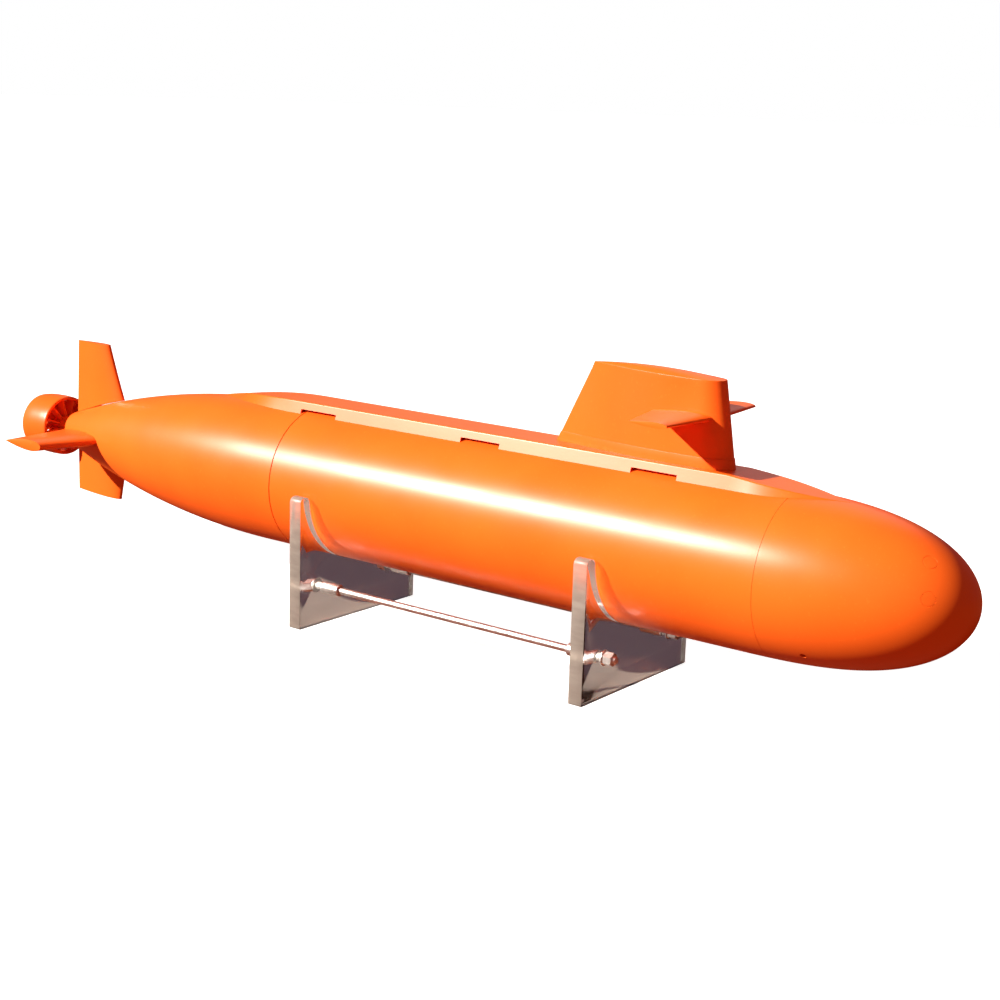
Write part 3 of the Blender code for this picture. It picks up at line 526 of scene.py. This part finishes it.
def bow_shell():
    """The bow, with its torpedo doors scribed on both sides and a drain hole low on each side."""
    start = BOW_SEAM + BOW_SEAM_GAP / 2
    outer = list(bow_curve(start, 72))
    outer[0] = (start, hull_radius(start) - BOW_SEAM_GAP)
    outer.insert(1, (start + BOW_SEAM_GAP, hull_radius(start + BOW_SEAM_GAP)))
    bm = turned(outer + list(bow_curve(start, 24, HULL_WALL))[::-1])
    doors = [(x, side * y, z) for x, y, z in ((0.468, 0.0323, 0.0116), (0.4615, 0.0200, 0.0324))
             for side in (-1, 1)]
    cutters = []
    for x, y, z in doors:
        scale = hull_radius(x) / math.hypot(y, z)
        cutters.append(engraved_ring(x, y * scale, z * scale, 0.005, 0.00022))
    for side in (-1, 1):
        cutters.append(bar((0.3826, side * 0.035, -0.037), (0.3826, side * 0.047, -0.051), 0.0025))
    made = piece("bow_shell", carved(bm, cutters), "hull", "hull_paint", ["bow_section"])
    true_hull_normals(made)


def middle_shell():
    rear, front = TAIL_SEAM + TAIL_SEAM_GAP / 2, BOW_SEAM - BOW_SEAM_GAP / 2
    outer = [(rear, HULL_RADIUS - SEAM_CHAMFER), (rear + SEAM_CHAMFER, HULL_RADIUS)]
    outer += [(x, hull_radius(x)) for x in steps(rear + 0.02, BOW_START, 12)]
    outer += [(x, hull_radius(x)) for x in steps(BOW_START, front - BOW_SEAM_GAP, 12)[1:]]
    outer += [(front, hull_radius(front) - BOW_SEAM_GAP)]
    inner = [(front, hull_radius(front, HULL_WALL)), (rear, HULL_RADIUS - HULL_WALL)]
    made = piece("middle_shell", turned(outer + inner), "hull", "hull_paint", ["mid_hull"])
    true_hull_normals(made)


def tail_shell():
    """The tail cone, with holes for the stocks and a rounded rim round the stern tube."""
    start, lip, bore = TAIL_SEAM - TAIL_SEAM_GAP / 2, 0.003, 0.0043
    rim = hull_radius(TAIL_END + lip)
    outer = [(start, hull_radius(start) - SEAM_CHAMFER)]
    outer += [(x, hull_radius(x)) for x in steps(start - SEAM_CHAMFER, TAIL_END + lip, 72)]
    outer += [(TAIL_END + lip * (1 - math.sin(turn)), rim - lip * 1.1 * (1 - math.cos(turn)))
              for turn in steps(0, math.pi / 2, 6)[1:]]
    inner = [(x, hull_radius(x, HULL_WALL)) for x in steps(TAIL_END + 2 * lip, start, 24)]
    bm = turned(outer + [(TAIL_END, bore), (TAIL_END + 2 * lip, bore)] + inner)
    holes = [
        bar((RUDDER_PIVOT_X, 0, -0.04), (RUDDER_PIVOT_X, 0, 0.04), STOCK_RADIUS + 0.0006),
        bar((PLANE_PIVOT_X, -0.04, 0), (PLANE_PIVOT_X, 0.04, 0), STOCK_RADIUS + 0.0006),
    ]
    made = piece("tail_shell", carved(bm, holes), "hull", "hull_paint", ["tail_section"])
    true_hull_normals(made)


# --- Deck casing --------------------------------------------------------------------------


def casing_taper(x, rear_reach=1.0):
    """1 along the casing's parallel length, falling to 0 at the tips of its plan shape."""
    if x > CASING_FRONT_TAPER:
        return 1 - ((x - CASING_FRONT_TAPER) / (CASING_FRONT - CASING_FRONT_TAPER)) ** 2.1
    if x < CASING_REAR_TAPER:
        along = (CASING_REAR_TAPER - x) / (CASING_REAR_TAPER - CASING_REAR) / rear_reach
        return 1 - min(1.0, along) ** 2.6
    return 1.0


def casing_crown(x):
    """Height of the casing's top, which comes down to the hull at both tips."""
    height = CASING_TOP
    for tip, slope, curl in (
        (CASING_FRONT, CASING_FRONT_SLOPE, 1.05), (CASING_REAR, CASING_REAR_SLOPE, 2.2),
    ):
        along = (x - slope) / (tip - slope)
        if along > 0:
            height -= (CASING_TOP - hull_radius(tip)) * along**curl
    return max(height, hull_radius(x) + 0.0002)


def casing_ring(x, inset=0.0, foot=0.004, rounding=CASING_EDGE_RADIUS):
    """Section of the casing at x, its top edges rounded. The hull trims the sides' foot."""
    base = max(0.0004, CASING_HALF_WIDTH * casing_taper(x) - inset)
    top = min(max(0.0002, CASING_TOP_HALF_WIDTH * casing_taper(x, 0.72) - inset), base * 0.9)
    edge = math.sqrt(hull_radius(x) ** 2 - base**2)
    crown = casing_crown(x) - inset
    corner, below = Vector((top, crown)), Vector((base, edge))
    side = below - corner
    reach = min(rounding, side.length * 0.4, top * 0.6)
    first, last = corner + side.normalized() * reach, corner - Vector((reach, 0))
    half = [(base, edge - foot), (base, edge), tuple(first.lerp(below, 0.03))]
    for share in steps(0, 1, 4):
        half.append(tuple(first.lerp(corner, share).lerp(corner.lerp(last, share), share)))
    half.append((last.x * 0.98, last.y))
    return [(x, y, z) for y, z in half] + [(x, -y, z) for y, z in half[::-1]]


def deck_strip():
    """The casing along the hull's crown, hollow under its top, with flood slots in both sides."""
    level = steps(CASING_FRONT_SLOPE, CASING_FRONT_TAPER, 6)[:-1]
    along = steps(CASING_REAR, CASING_REAR_TAPER, 40) + level
    along += steps(CASING_FRONT_TAPER, CASING_FRONT, 32)
    inside = steps(-0.205, CASING_REAR_TAPER, 8) + level + steps(CASING_FRONT_TAPER, 0.345, 6)
    rear, front = CASING_REAR - 0.014, CASING_FRONT + 0.0105
    bed = steps(rear, TAIL_START, 30) + steps(BOW_START, front, 30)
    seat = [(rear, 0)] + [(x, hull_radius(x) + TOUCHING_GAP) for x in bed] + [(front, 0)]
    cutters = [skinned([casing_ring(x, CASING_WALL, 0.008) for x in inside]), turned(seat)]
    cutters += [box((start, -0.03, 0.050), (end, 0.03, FLOOD_SLOT_TOP)) for start, end in FLOOD_SLOTS]
    bm = carved(skinned([casing_ring(x) for x in along]), cutters)
    piece("deck_strip", bm, "hull", "hull_paint", ["deck_casing"], sharp=24)


# --- Sail ---------------------------------------------------------------------------------


def profile(s):
    """Half thickness of a symmetrical section at a fraction of its chord. The greatest is 1."""
    return 10 * (0.2969 * s**0.5 - 0.1260 * s - 0.3516 * s**2 + 0.2843 * s**3 - 0.1036 * s**4)


def sail_profile(s):
    """The same for the sail, which has a fuller nose."""
    nose, full = 0.14, 0.3
    return profile(s) if s > full else math.sqrt(1 - max(0.0, 1 - s / nose) ** 2)


def aerofoil(count, blunt=0.0, shape=profile):
    """(fraction of the chord, side of the chord line) around a symmetrical section, from its
    trailing edge along one side and back along the other. The greatest half thickness is 1, and
    blunt is the half thickness left at the trailing edge."""
    places = [(1 - math.cos(turn)) / 2 for turn in steps(0, math.pi, count)]
    upper = [(s, shape(s) + blunt * s) for s in places]
    lower = [(s, -y) for s, y in upper[1:]]
    return upper[::-1] + lower


def section(leading, trailing, across, thick, count, shape=profile):
    """Points of an aerofoil between two edges, with a slightly blunt trailing edge."""
    return [leading.lerp(trailing, s) + across * thick * y
            for s, y in aerofoil(count, BLUNT_EDGE / thick, shape)]


def arch(s):
    """0 at both ends of a chord and 1 at its middle."""
    return 4 * s * (1 - s)


def sail_size(height):
    """Leading edge, trailing edge and half thickness of the sail at a height."""
    up = (height - SAIL_FOOT) / (SAIL_RIM - SAIL_FOOT)
    pairs = SAIL_LEADING, SAIL_TRAILING, SAIL_HALF_THICKNESS
    return [low + (high - low) * up for low, high in pairs]


def sail_ring(height, grow=0.0, count=40):
    """The sail's section at a height, grown or shrunk all round."""
    leading, trailing, thick = sail_size(height)
    leading += grow
    trailing -= grow if grow > 0 else grow * 6
    return section(Vector((leading, 0, height)), Vector((trailing, 0, height)),
                   Vector((0, 1, 0)), thick + grow, count, sail_profile)


def sail_top_ring(inward, inset=0.0, drop=0.0, count=40):
    """A ring of the sail's domed top, inward being 0 at its rim and 1 along its middle."""
    leading, trailing, thick = sail_size(SAIL_RIM)
    ring = section(Vector((leading - inset, 0, SAIL_RIM - drop)),
                   Vector((trailing + inset, 0, SAIL_RIM - drop)),
                   Vector((0, 1, 0)), (thick - inset) * (1 - inward), count, sail_profile)
    for point in ring:
        s = min(1.0, (leading - point.x) / (leading - trailing))
        point.z += SAIL_RIM_LIFT * s**3 + SAIL_DOME * arch(s) * (1 - (1 - inward) ** 2)
    return ring


def sail_collar():
    """The low lip that the sail stands in, a hair prouder than the sail's side."""
    top, proud = SAIL_FOOT + SAIL_COLLAR_HEIGHT, 0.0005
    rings = [sail_ring(SAIL_FOOT + TOUCHING_GAP, proud), sail_ring(top - 0.0004, proud),
             sail_ring(top - 0.0001, proud * 0.8), sail_ring(top, proud * 0.3)]
    bore = skinned([sail_ring(height, -SAIL_WALL) for height in (0.060, 0.085)])
    piece("sail_collar", carved(skinned(rings), [bore]), "hull", "hull_paint", ["sail_base"])


def sail_tower():
    """The sail, hollow, with a soft rim round its domed top."""
    foot, edge = SAIL_FOOT + SAIL_COLLAR_HEIGHT + TOUCHING_GAP, SAIL_EDGE_RADIUS
    rim_turn = 1.05
    rings = [sail_ring(height) for height in steps(foot, SAIL_RIM - 0.004, 8)]
    for turn in steps(0, rim_turn, 4):
        inset, drop = edge * (1 - math.cos(turn)), edge * (1 - math.sin(turn))
        rings.append(sail_top_ring(0.0, inset, drop))
    for inward in (0.03, 0.07, 0.13, 0.2, 0.29, 0.4, 0.52, 0.66, 0.8, 0.93):
        rings.append(sail_top_ring(inward, inset, drop))
    inside = skinned([sail_ring(height, -SAIL_WALL, 24) for height in (0.070, SAIL_RIM - 0.002)])
    hole = bar((SAIL_PIVOT_X, -0.02, SAIL_PIVOT_Z), (SAIL_PIVOT_X, 0.02, SAIL_PIVOT_Z), 0.0021)
    tower = carved(skinned(rings, strips=True), [inside, hole])
    piece("sail_tower", tower, "hull", "hull_paint", ["sail"], sharp=28)


# --- Control surfaces ---------------------------------------------------------------------


def fin(out, normal, root, tip, seat, reach, half_thickness, dome, height=0.0, flare=0.0):
    """A tapered blade whose root follows what it stands on and whose tip is domed.

    root and tip are each (leading edge, trailing edge) in X. Distances out from the hull's axis
    are seat(x, side) at the root and reach, at the leading and the trailing edge, at the tip.
    flare fills the corner between the blade's root and its seat.
    """
    out, normal = Vector(out), Vector(normal)
    spans = [(span, 1.0, 0.0)
             for span in (0.0, 0.004, 0.009, 0.016, 0.026, 0.04, *steps(0.1, 1, 9))]
    spans += [(1.0, fatness, 1 - fatness**2) for fatness in (0.97, 0.9, 0.8, 0.6, 0.35, 0.1)]
    rings = []
    for span, fatness, rise in spans:
        leading, trailing = (near + (far - near) * span for near, far in zip(root, tip))
        thick = fatness * (half_thickness[0] * (1 - span) + half_thickness[1] * span)
        ring = section(Vector((leading, 0, height)), Vector((trailing, 0, height)), normal, thick, 24)
        placed = []
        for point in ring:
            s = (leading - point.x) / (leading - trailing)
            far = reach[0] * (1 - s) + reach[1] * s + dome * rise * arch(s)
            filled = flare * math.exp(-span / 0.012) * (1 - (2 * s - 1) ** 6)
            side = point.dot(normal) - height * normal.z
            side += math.copysign(filled, side)
            foot = seat(point.x, side) if span < 1 else 0
            point = Vector((point.x, 0, height)) + normal * side
            placed.append(point + out * (foot * (1 - span) + far * span))
        rings.append(placed)
    return skinned(rings, strips=True)


def swept(surface, pivot, swing):
    """Distance out of a fin's root that clears a surface all the way round the fin's swing."""
    def seat(x, side):
        return max(surface(x, 0.0), *(
            surface(pivot + (x - pivot) * math.cos(angle) - side * math.sin(angle),
                    (x - pivot) * math.sin(angle) + side * math.cos(angle))
            for angle in steps(-swing, swing, 24)
        ))
    return seat


def hull_side(x, across):
    """Distance from the hull's axis to just clear of the tail cone."""
    return math.sqrt(max(0.0, hull_radius(x) ** 2 - across**2)) + FIN_ROOT_GAP


def rudders():
    for name, node, side, root, tip, reach, dome in (
        ("rudder_blade_upper", "rudder_upper", 1, (-0.3700, -0.4376), (-0.3893, -0.4344),
         (0.0868, 0.0872), 0.0004),
        ("rudder_blade_lower", "rudder_lower", -1, (-0.3708, -0.4378), (-0.3764, -0.4380),
         (0.0618, 0.0602), 0.0006),
    ):
        seat = swept(hull_side, RUDDER_PIVOT_X, RUDDER_SWING)
        bm = fin((0, 0, side), (0, 1, 0), root, tip, seat, reach, (0.0050, 0.0042), dome)
        bore = bar((RUDDER_PIVOT_X, 0, 0), (RUDDER_PIVOT_X, 0, side * 0.050), 0.0021)
        piece(name, carved(bm, [bore]), "rudder", "hull_paint", [node])


def stern_planes():
    for name, node, side in (("stern_blade_port", "stern_plane_port", 1),
                             ("stern_blade_starboard", "stern_plane_starboard", -1)):
        seat = swept(hull_side, PLANE_PIVOT_X, PLANE_SWING)
        bm = fin((0, side, 0), (0, 0, 1), (-0.3690, -0.4405), (-0.3855, -0.4357), seat,
                 (0.0886, 0.0886), (0.0056, 0.0052), 0.0007)
        bore = bar((PLANE_PIVOT_X, 0, 0), (PLANE_PIVOT_X, side * 0.052, 0), 0.0021)
        piece(name, carved(bm, [bore]), "stern_planes", "hull_paint", [node])


def sail_side(x, up):
    """Distance from the sail's middle to just clear of its side, up from its planes' pivot."""
    leading, trailing, thick = sail_size(SAIL_PIVOT_Z + up)
    return thick * sail_profile((leading - x) / (leading - trailing)) + SAIL_PLANE_GAP


def sail_planes():
    for name, node, side in (("sail_blade_port", "sail_plane_port", 1),
                             ("sail_blade_starboard", "sail_plane_starboard", -1)):
        seat = swept(sail_side, SAIL_PIVOT_X, PLANE_SWING)
        bm = fin((0, side, 0), (0, 0, 1), (0.2805, 0.2300), (0.2752, 0.2424), seat,
                 (0.0634, 0.0634), (0.0031, 0.0021), 0.0002, SAIL_PIVOT_Z, flare=0.0009)
        bore = bar((SAIL_PIVOT_X, 0, SAIL_PIVOT_Z), (SAIL_PIVOT_X, side * 0.024, SAIL_PIVOT_Z),
                   0.0017)
        piece(name, carved(bm, [bore]), "sail_planes", "hull_paint", [node])


# --- Propulsor ----------------------------------------------------------------------------


def smooth_outline(corners, count):
    """A closed outline as a smooth curve through its corners."""
    outline = []
    total = len(corners)
    for number in range(total):
        p0, p1, p2, p3 = (Vector(corners[(number + k) % total]) for k in (-1, 0, 1, 2))
        for t in steps(0, 1, count)[:-1]:
            outline.append(tuple(0.5 * (
                2 * p1 + (p2 - p0) * t + (2 * p0 - 5 * p1 + 4 * p2 - p3) * t**2
                + (3 * p1 - p0 - 3 * p2 + p3) * t**3)))
    return outline


def duct():
    """The ring round the propeller: a barrel outside, with a rounded front lip."""
    outline = smooth_outline([
        (DUCT_FRONT, 0.0272), (DUCT_FRONT - 0.0012, 0.0286), (-0.4600, 0.0290), (-0.4670, 0.0291),
        (-0.4790, 0.0287), (DUCT_REAR + 0.0004, 0.0274), (DUCT_REAR + 0.0003, 0.0268),
        (-0.4810, 0.0256), (-0.4700, 0.0251), (-0.4600, 0.0251), (DUCT_FRONT - 0.0012, 0.0258),
    ], 5)
    piece("duct_ring", turned(outline, 144), "hull", "hull_paint", ["duct"], sharp=50)


def radial_blades(count, sections, points=10):
    """Blades round the X axis. Each section is (x, radius, chord, pitch angle, half thickness,
    turn round the axis), and it is bent round the axis at its radius."""
    made = []
    for number in range(count):
        rings = []
        for x, radius, chord, pitch, thick, lean in sections:
            turn = Matrix.Rotation(math.tau * number / count + lean, 3, "X")
            along = Vector((math.cos(pitch), math.sin(pitch), 0)) * chord / 2
            across = Vector((-math.sin(pitch), math.cos(pitch), 0)) * thick
            ring = []
            for s, y in aerofoil(points, 0.1):
                point = along * (1 - 2 * s) + across * y
                bend = point.y / radius
                ring.append(turn @ Vector((x + point.x, radius * math.sin(bend),
                                           radius * math.cos(bend))))
            rings.append(ring)
        made.append(skinned(rings))
    return made


def stator():
    """The fixed hub behind the tail with the vanes that carry the duct."""
    hub = turned([
        (TAIL_END - CAD_GAP, 0.0125), (-0.4450, 0.0120), (-0.4500, 0.0109), (-0.4560, 0.0097),
        (-0.4626, 0.0087), (-0.4630, 0.0083), (-0.4630, 0.0043), (TAIL_END - CAD_GAP, 0.0043),
    ], 72)
    root, tip = 0.0070, 0.0253
    sections = []
    for share in steps(0, 1, 6):
        sections.append((-0.4570 - 0.0022 * share, root + (tip - root) * share,
                         0.0100 - 0.0008 * share, 0.20 * share, 0.0009 - 0.0001 * share,
                         VANE_LEAN))
    piece("stator_vanes", carved(hub, radial_blades(VANE_COUNT, sections), "UNION"), "hull",
          "hull_paint", ["stator"], sharp=30)


def screw():
    """The propeller, its broad blades twisted and swept towards their tips, and its cone nut."""
    hub = turned([
        (-0.4635, 0.0023), (-0.4635, 0.0074), (-0.4641, 0.0080), (-0.4715, 0.00805),
        (-0.4784, 0.0078), (-0.4790, 0.0073), (-0.4790, 0.0023),
    ], 72)
    middle, root, tip = -0.4712, 0.0070, 0.0240
    sections = []
    for share in steps(0, 1, 8):
        fullness = math.sqrt(1 - max(0.0, share - 0.5) ** 2 * 1.6)
        sections.append((
            middle, root + (tip - root) * share, (0.0080 + 0.0220 * share) * fullness,
            0.72 + 0.40 * share, 0.0011 - 0.0006 * share, 0.35 * share**2))
    piece("screw_propeller", carved(hub, radial_blades(BLADE_COUNT, sections), "UNION"), "screw",
          "hull_paint", ["propeller"], sharp=30)
    cone = [(-0.4793, 0.0067), (-0.4796, 0.0071)]
    cone += [(-0.4796 + (CONE_END + 0.4796) * math.sin(turn), 0.0071 * math.cos(turn) ** 0.8)
             for turn in steps(0, math.pi / 2, 14)[1:-1]]
    cone += [(CONE_END, 0.0), (-0.4878, 0.0), (-0.4878, 0.0023), (-0.4793, 0.0023)]
    piece("screw_cone", turned(cone, 72), "screw", "brass", ["propeller_nut"])


# --- Stand --------------------------------------------------------------------------------


def fillet(before, corner, after, radius, count=6):
    """Points rounding an outline's corner, between the points before and after it."""
    before, corner, after = Vector(before), Vector(corner), Vector(after)
    back, ahead = (before - corner).normalized(), (after - corner).normalized()
    half = back.angle(ahead) / 2
    reach = radius / math.tan(half)
    centre = corner + (back + ahead).normalized() * radius / math.sin(half)
    start, end = corner + back * reach - centre, corner + ahead * reach - centre
    sweep = start.angle(end)
    return [tuple(centre + (start * math.sin(sweep * (1 - t)) + end * math.sin(sweep * t))
                  / math.sin(sweep)) for t in steps(0, 1, count)]


def plate_outline():
    """(y, z) round a plate: flat foot, straight sides, rounded horns and the hull's cradle."""
    centre_z = AXIS_Z + CRADLE_RADIUS - HULL_RADIUS - CRADLE_GAP
    wide, top, mouth = PLATE_HALF_WIDTH, PLATE_TOP, CRADLE_RADIUS
    horn_inside = fillet((wide, top), (mouth, top), (mouth, 0), HORN_RADIUS * 0.8)
    horn_outside = fillet((wide, 0), (wide, top), (mouth, top), HORN_RADIUS)
    foot = fillet((0, 0), (wide, 0), (wide, top), FOOT_RADIUS, 4)
    start = math.asin((horn_inside[-1][1] - centre_z) / CRADLE_RADIUS)
    arc = [(CRADLE_RADIUS * math.cos(turn), centre_z + CRADLE_RADIUS * math.sin(turn))
           for turn in steps(start, -math.pi / 2, 48)][1:]
    half = foot + horn_outside + horn_inside + arc
    return half + [(-y, z) for y, z in half[:-1][::-1]]


def stand_plate(name, node):
    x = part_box(node)[0].x
    outline = plate_outline()
    bm = skinned([[(along, y, z) for y, z in outline] for along in (x, x + PLATE_THICKNESS)],
                 at=(0, 0, 0))
    rims = [edge for edge in bm.edges if edge.verts[0].co.x == edge.verts[1].co.x]
    bmesh.ops.bevel(bm, geom=rims, offset=PLATE_BEVEL, segments=2, profile=0.5, affect="EDGES",
                    clamp_overlap=True)
    holes = [bar((x - 0.01, side * ROD_Y, ROD_Z), (x + 0.03, side * ROD_Y, ROD_Z),
                 ROD_RADIUS + CAD_GAP, at=(0, 0, 0)) for side in (-1, 1)]
    bm = carved(bm, holes)
    centre_z = AXIS_Z + CRADLE_RADIUS - HULL_RADIUS - CRADLE_GAP
    for face in bm.faces:
        middle = face.calc_center_median()
        from_axis = math.hypot(middle.y, middle.z - centre_z)
        if abs(face.normal.x) > 0.9:
            face.material_index = 0
        elif abs(from_axis - CRADLE_RADIUS) < 0.0006:
            face.material_index = 2
        else:
            face.material_index = 1
    piece(name, bm, "stand", "stand_acrylic", [node], sharp=40,
          finishes=[FINISHES["stand_acrylic"], SAWN_EDGE, CRADLE_EDGE])


def threaded_rod(start, end, threads, at):
    """A steel rod with a helical thread cut over the lengths given as (from, to)."""
    segments, core = 28, ROD_RADIUS - THREAD_DEPTH
    chamfer = 0.0006
    along = [start, start + chamfer]
    for low, high in threads:
        along += steps(low, high, round((high - low) / THREAD_PITCH * 8))
    along += [end - chamfer, end]
    rings = []
    for x in sorted(set(along)):
        depth = 0.0
        for low, high in threads:
            if low <= x <= high:
                fade = min(1.0, abs(x - low) / THREAD_PITCH, abs(x - high) / THREAD_PITCH)
                at_end = low <= start + chamfer or high >= end - chamfer
                depth = THREAD_DEPTH * (1.0 if at_end and abs(x) > abs((low + high) / 2) else fade)
        ring = []
        for number in range(segments):
            turn = math.tau * number / segments
            phase = (x / THREAD_PITCH - number / segments) % 1.0
            radius = ROD_RADIUS - depth * abs(2 * phase - 1) ** 1.3
            if x in (start, end):
                radius = core
            ring.append((x, radius * math.sin(turn), radius * math.cos(turn)))
        rings.append(ring)
    return skinned(rings, at)


def hexagon_nut(inner, outer, at):
    """A nut between two distances along X, its corners chamfered by a turned profile."""
    low, high = min(inner, outer), max(inner, outer)
    body = turned([(low, 0), (low, NUT_RADIUS), (high, NUT_RADIUS), (high, 0)], 6, at)
    flat, chamfer = NUT_RADIUS * math.cos(math.pi / 6), 0.0006
    envelope = turned([(low, 0), (low, flat), (low + chamfer, NUT_RADIUS + 1e-4),
                       (high - chamfer, NUT_RADIUS + 1e-4), (high, flat), (high, 0)], 72, at)
    body = carved(body, [envelope], "INTERSECT")
    bore = turned([(low - 0.01, 0), (low - 0.01, ROD_RADIUS + 0.0001),
                   (high + 0.01, ROD_RADIUS + 0.0001), (high + 0.01, 0)], 48, at)
    return carved(body, [bore])


def ring_piece(name, start, end, inner, outer, chamfer, at, stands_for=()):
    """A turned ring with chamfered rims."""
    bm = turned([
        (start, inner), (end, inner), (end, outer - chamfer), (end - chamfer, outer),
        (start + chamfer, outer), (start, outer - chamfer),
    ], 64, at)
    return piece(name, bm, "stand", "stainless_steel", stands_for, sharp=30)


def stand_rods():
    """The two rods with their collars inside the plates, and washers and nuts outside them."""
    rear_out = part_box("stand_plate_rear")[0].x
    rear_in, front_in = rear_out + PLATE_THICKNESS, plate_low.x
    front_out = plate_high.x
    start, end = rod_low.x, rod_high.x
    thread = 0.016
    for side_name, side in (("port", 1), ("starboard", -1)):
        at = (0, side * ROD_Y, ROD_Z)
        bm = threaded_rod(start, end, ((start, start + thread), (end - thread, end)), at)
        piece(f"tie_rod_{side_name}", bm, "stand", "stainless_steel", [f"stand_rod_{side_name}"])
        bore = ROD_RADIUS + 0.00005
        for end_name, low in (("rear", rear_in + CAD_GAP),
                              ("front", front_in - CAD_GAP - COLLAR_LENGTH)):
            ring_piece(f"collar_{end_name}_{side_name}", low, low + COLLAR_LENGTH, bore,
                       COLLAR_RADIUS, 0.0006, at)
        for end_name, face, out in (("rear", rear_out, -1), ("front", front_out, 1)):
            edges = sorted((face + out * CAD_GAP * 0.2, face + out * WASHER_THICKNESS))
            ring_piece(f"washer_{end_name}_{side_name}", *edges, bore + 0.0001, WASHER_RADIUS,
                       0.0002, at)
            nut = hexagon_nut(face + out * (WASHER_THICKNESS + 0.00003), face + out * NUT_REACH, at)
            piece(f"nut_{end_name}_{side_name}", nut, "stand", "stainless_steel",
                  [f"stand_nut_{end_name}_{side_name}"], sharp=25)


# --- Carried pieces and studio ------------------------------------------------------------


def finish_carried_pieces():
    """Give each CAD node that still shows the finish of its slot."""
    for part in frame["record"]["subparts"]:
        node = frame["nodes"][part["node"]]
        if not node.hide_render:
            node.data.materials.clear()
            node.data.materials.append(FINISHES[part["material_slot"]])


def floor():
    """A pale floor where the camera sees it. The rays that go on through the acrylic meet a duller
    ground, and the rest a dim warm one, so that the hull's underside keeps its depth."""
    size = 40.0
    mesh = bpy.data.meshes.new("studio_floor")
    mesh.from_pydata([(-size, -size, 0), (size, -size, 0), (size, size, 0), (-size, size, 0)], [],
                     [(0, 1, 2, 3)])
    made = bpy.data.objects.new("studio_floor", mesh)
    bpy.context.scene.collection.objects.link(made)
    material = bpy.data.materials.new("studio_floor")
    material.use_nodes = True
    tree = material.node_tree
    tree.nodes.clear()
    output = tree.nodes.new("ShaderNodeOutputMaterial")

    def surface(colour, glow):
        pale = tree.nodes.new("ShaderNodeBsdfDiffuse")
        pale.inputs["Color"].default_value = (*colour, 1)
        shine = tree.nodes.new("ShaderNodeEmission")
        shine.inputs["Color"].default_value = (*glow, 1)
        both = tree.nodes.new("ShaderNodeAddShader")
        tree.links.new(pale.outputs[0], both.inputs[0])
        tree.links.new(shine.outputs[0], both.inputs[1])
        return both.outputs[0]

    through_glass = surface((0.225, 0.187, 0.150), (0.040, 0.045, 0.066))
    by_paint = surface((0.18, 0.052, 0.028), (0, 0, 0))
    later = choose(tree, "Is Transmission Ray", by_paint, through_glass)
    seen = choose(tree, "Is Camera Ray", later, surface((0.5, 0.5, 0.5), (0.96, 0.96, 0.96)))
    tree.links.new(seen, output.inputs["Surface"])
    mesh.materials.append(material)


def lamp(name, direction, spread, strength, colour):
    """A far studio lamp shining from a direction, spread over an angle in degrees."""
    light = bpy.data.lights.new(name, "SUN")
    light.angle = math.radians(spread)
    light.energy = strength
    light.color = colour
    made = bpy.data.objects.new(name, light)
    towards = Vector(direction).normalized()
    made.location = Vector((0, 0, AXIS_Z)) + towards * 3
    made.rotation_mode = "QUATERNION"
    made.rotation_quaternion = towards.to_track_quat("Z", "Y")
    bpy.context.scene.collection.objects.link(made)


def studio():
    floor()
    lamp("key_lamp", (-0.572, -0.663, 0.478), 1.2, 9.0, (1.0, 0.94, 0.85))
    lamp("fill_lamp", (-0.45, 0.75, 0.55), 40, 0.35, (1.0, 0.75, 0.65))
    world = bpy.data.worlds.new("studio_world")
    world.use_nodes = True
    tree = world.node_tree
    tree.nodes.clear()
    output = tree.nodes.new("ShaderNodeOutputWorld")

    def sky(colour, strength):
        node = tree.nodes.new("ShaderNodeBackground")
        node.inputs["Color"].default_value = (*colour, 1)
        node.inputs["Strength"].default_value = strength
        return node.outputs[0]

    reflected, scattered = sky((1.0, 0.42, 0.58), 0.13), sky((1.0, 0.42, 0.28), 0.26)
    later = choose(tree, "Is Diffuse Ray", reflected, scattered)
    seen = choose(tree, "Is Camera Ray", later, sky((1, 1, 1), 1.0))
    tree.links.new(seen, output.inputs["Surface"])
    bpy.context.scene.world = world
    bpy.context.scene.view_settings.view_transform = "Standard"


def camera():
    """Off the starboard bow, a little above the deck."""
    place, yaw, pitch, roll = (0.9304, -1.1276, 0.4449), 0.645, -0.223, 0.032
    forward = Vector((-math.sin(yaw) * math.cos(pitch), math.cos(yaw) * math.cos(pitch),
                      math.sin(pitch)))
    right = forward.cross(Vector((0, 0, 1))).normalized()
    up = right.cross(forward)
    rolled_right = right * math.cos(roll) + up * math.sin(roll)
    rolled_up = up * math.cos(roll) - right * math.sin(roll)
    view = bpy.data.cameras.new("camera")
    view.lens = 64.39
    view.sensor_width = 36
    view.clip_start, view.clip_end = 0.05, 100
    made = bpy.data.objects.new("camera", view)
    turn = Matrix((rolled_right, rolled_up, -forward)).transposed().to_4x4()
    made.matrix_world = Matrix.Translation(place) @ turn
    bpy.context.scene.collection.objects.link(made)
    bpy.context.scene.camera = made


bow_shell()
middle_shell()
tail_shell()
deck_strip()
sail_collar()
sail_tower()
rudders()
stern_planes()
sail_planes()
duct()
stator()
screw()
stand_plate("plate_front", "stand_plate_front")
stand_plate("plate_rear", "stand_plate_rear")
stand_rods()
finish_carried_pieces()
studio()
camera()
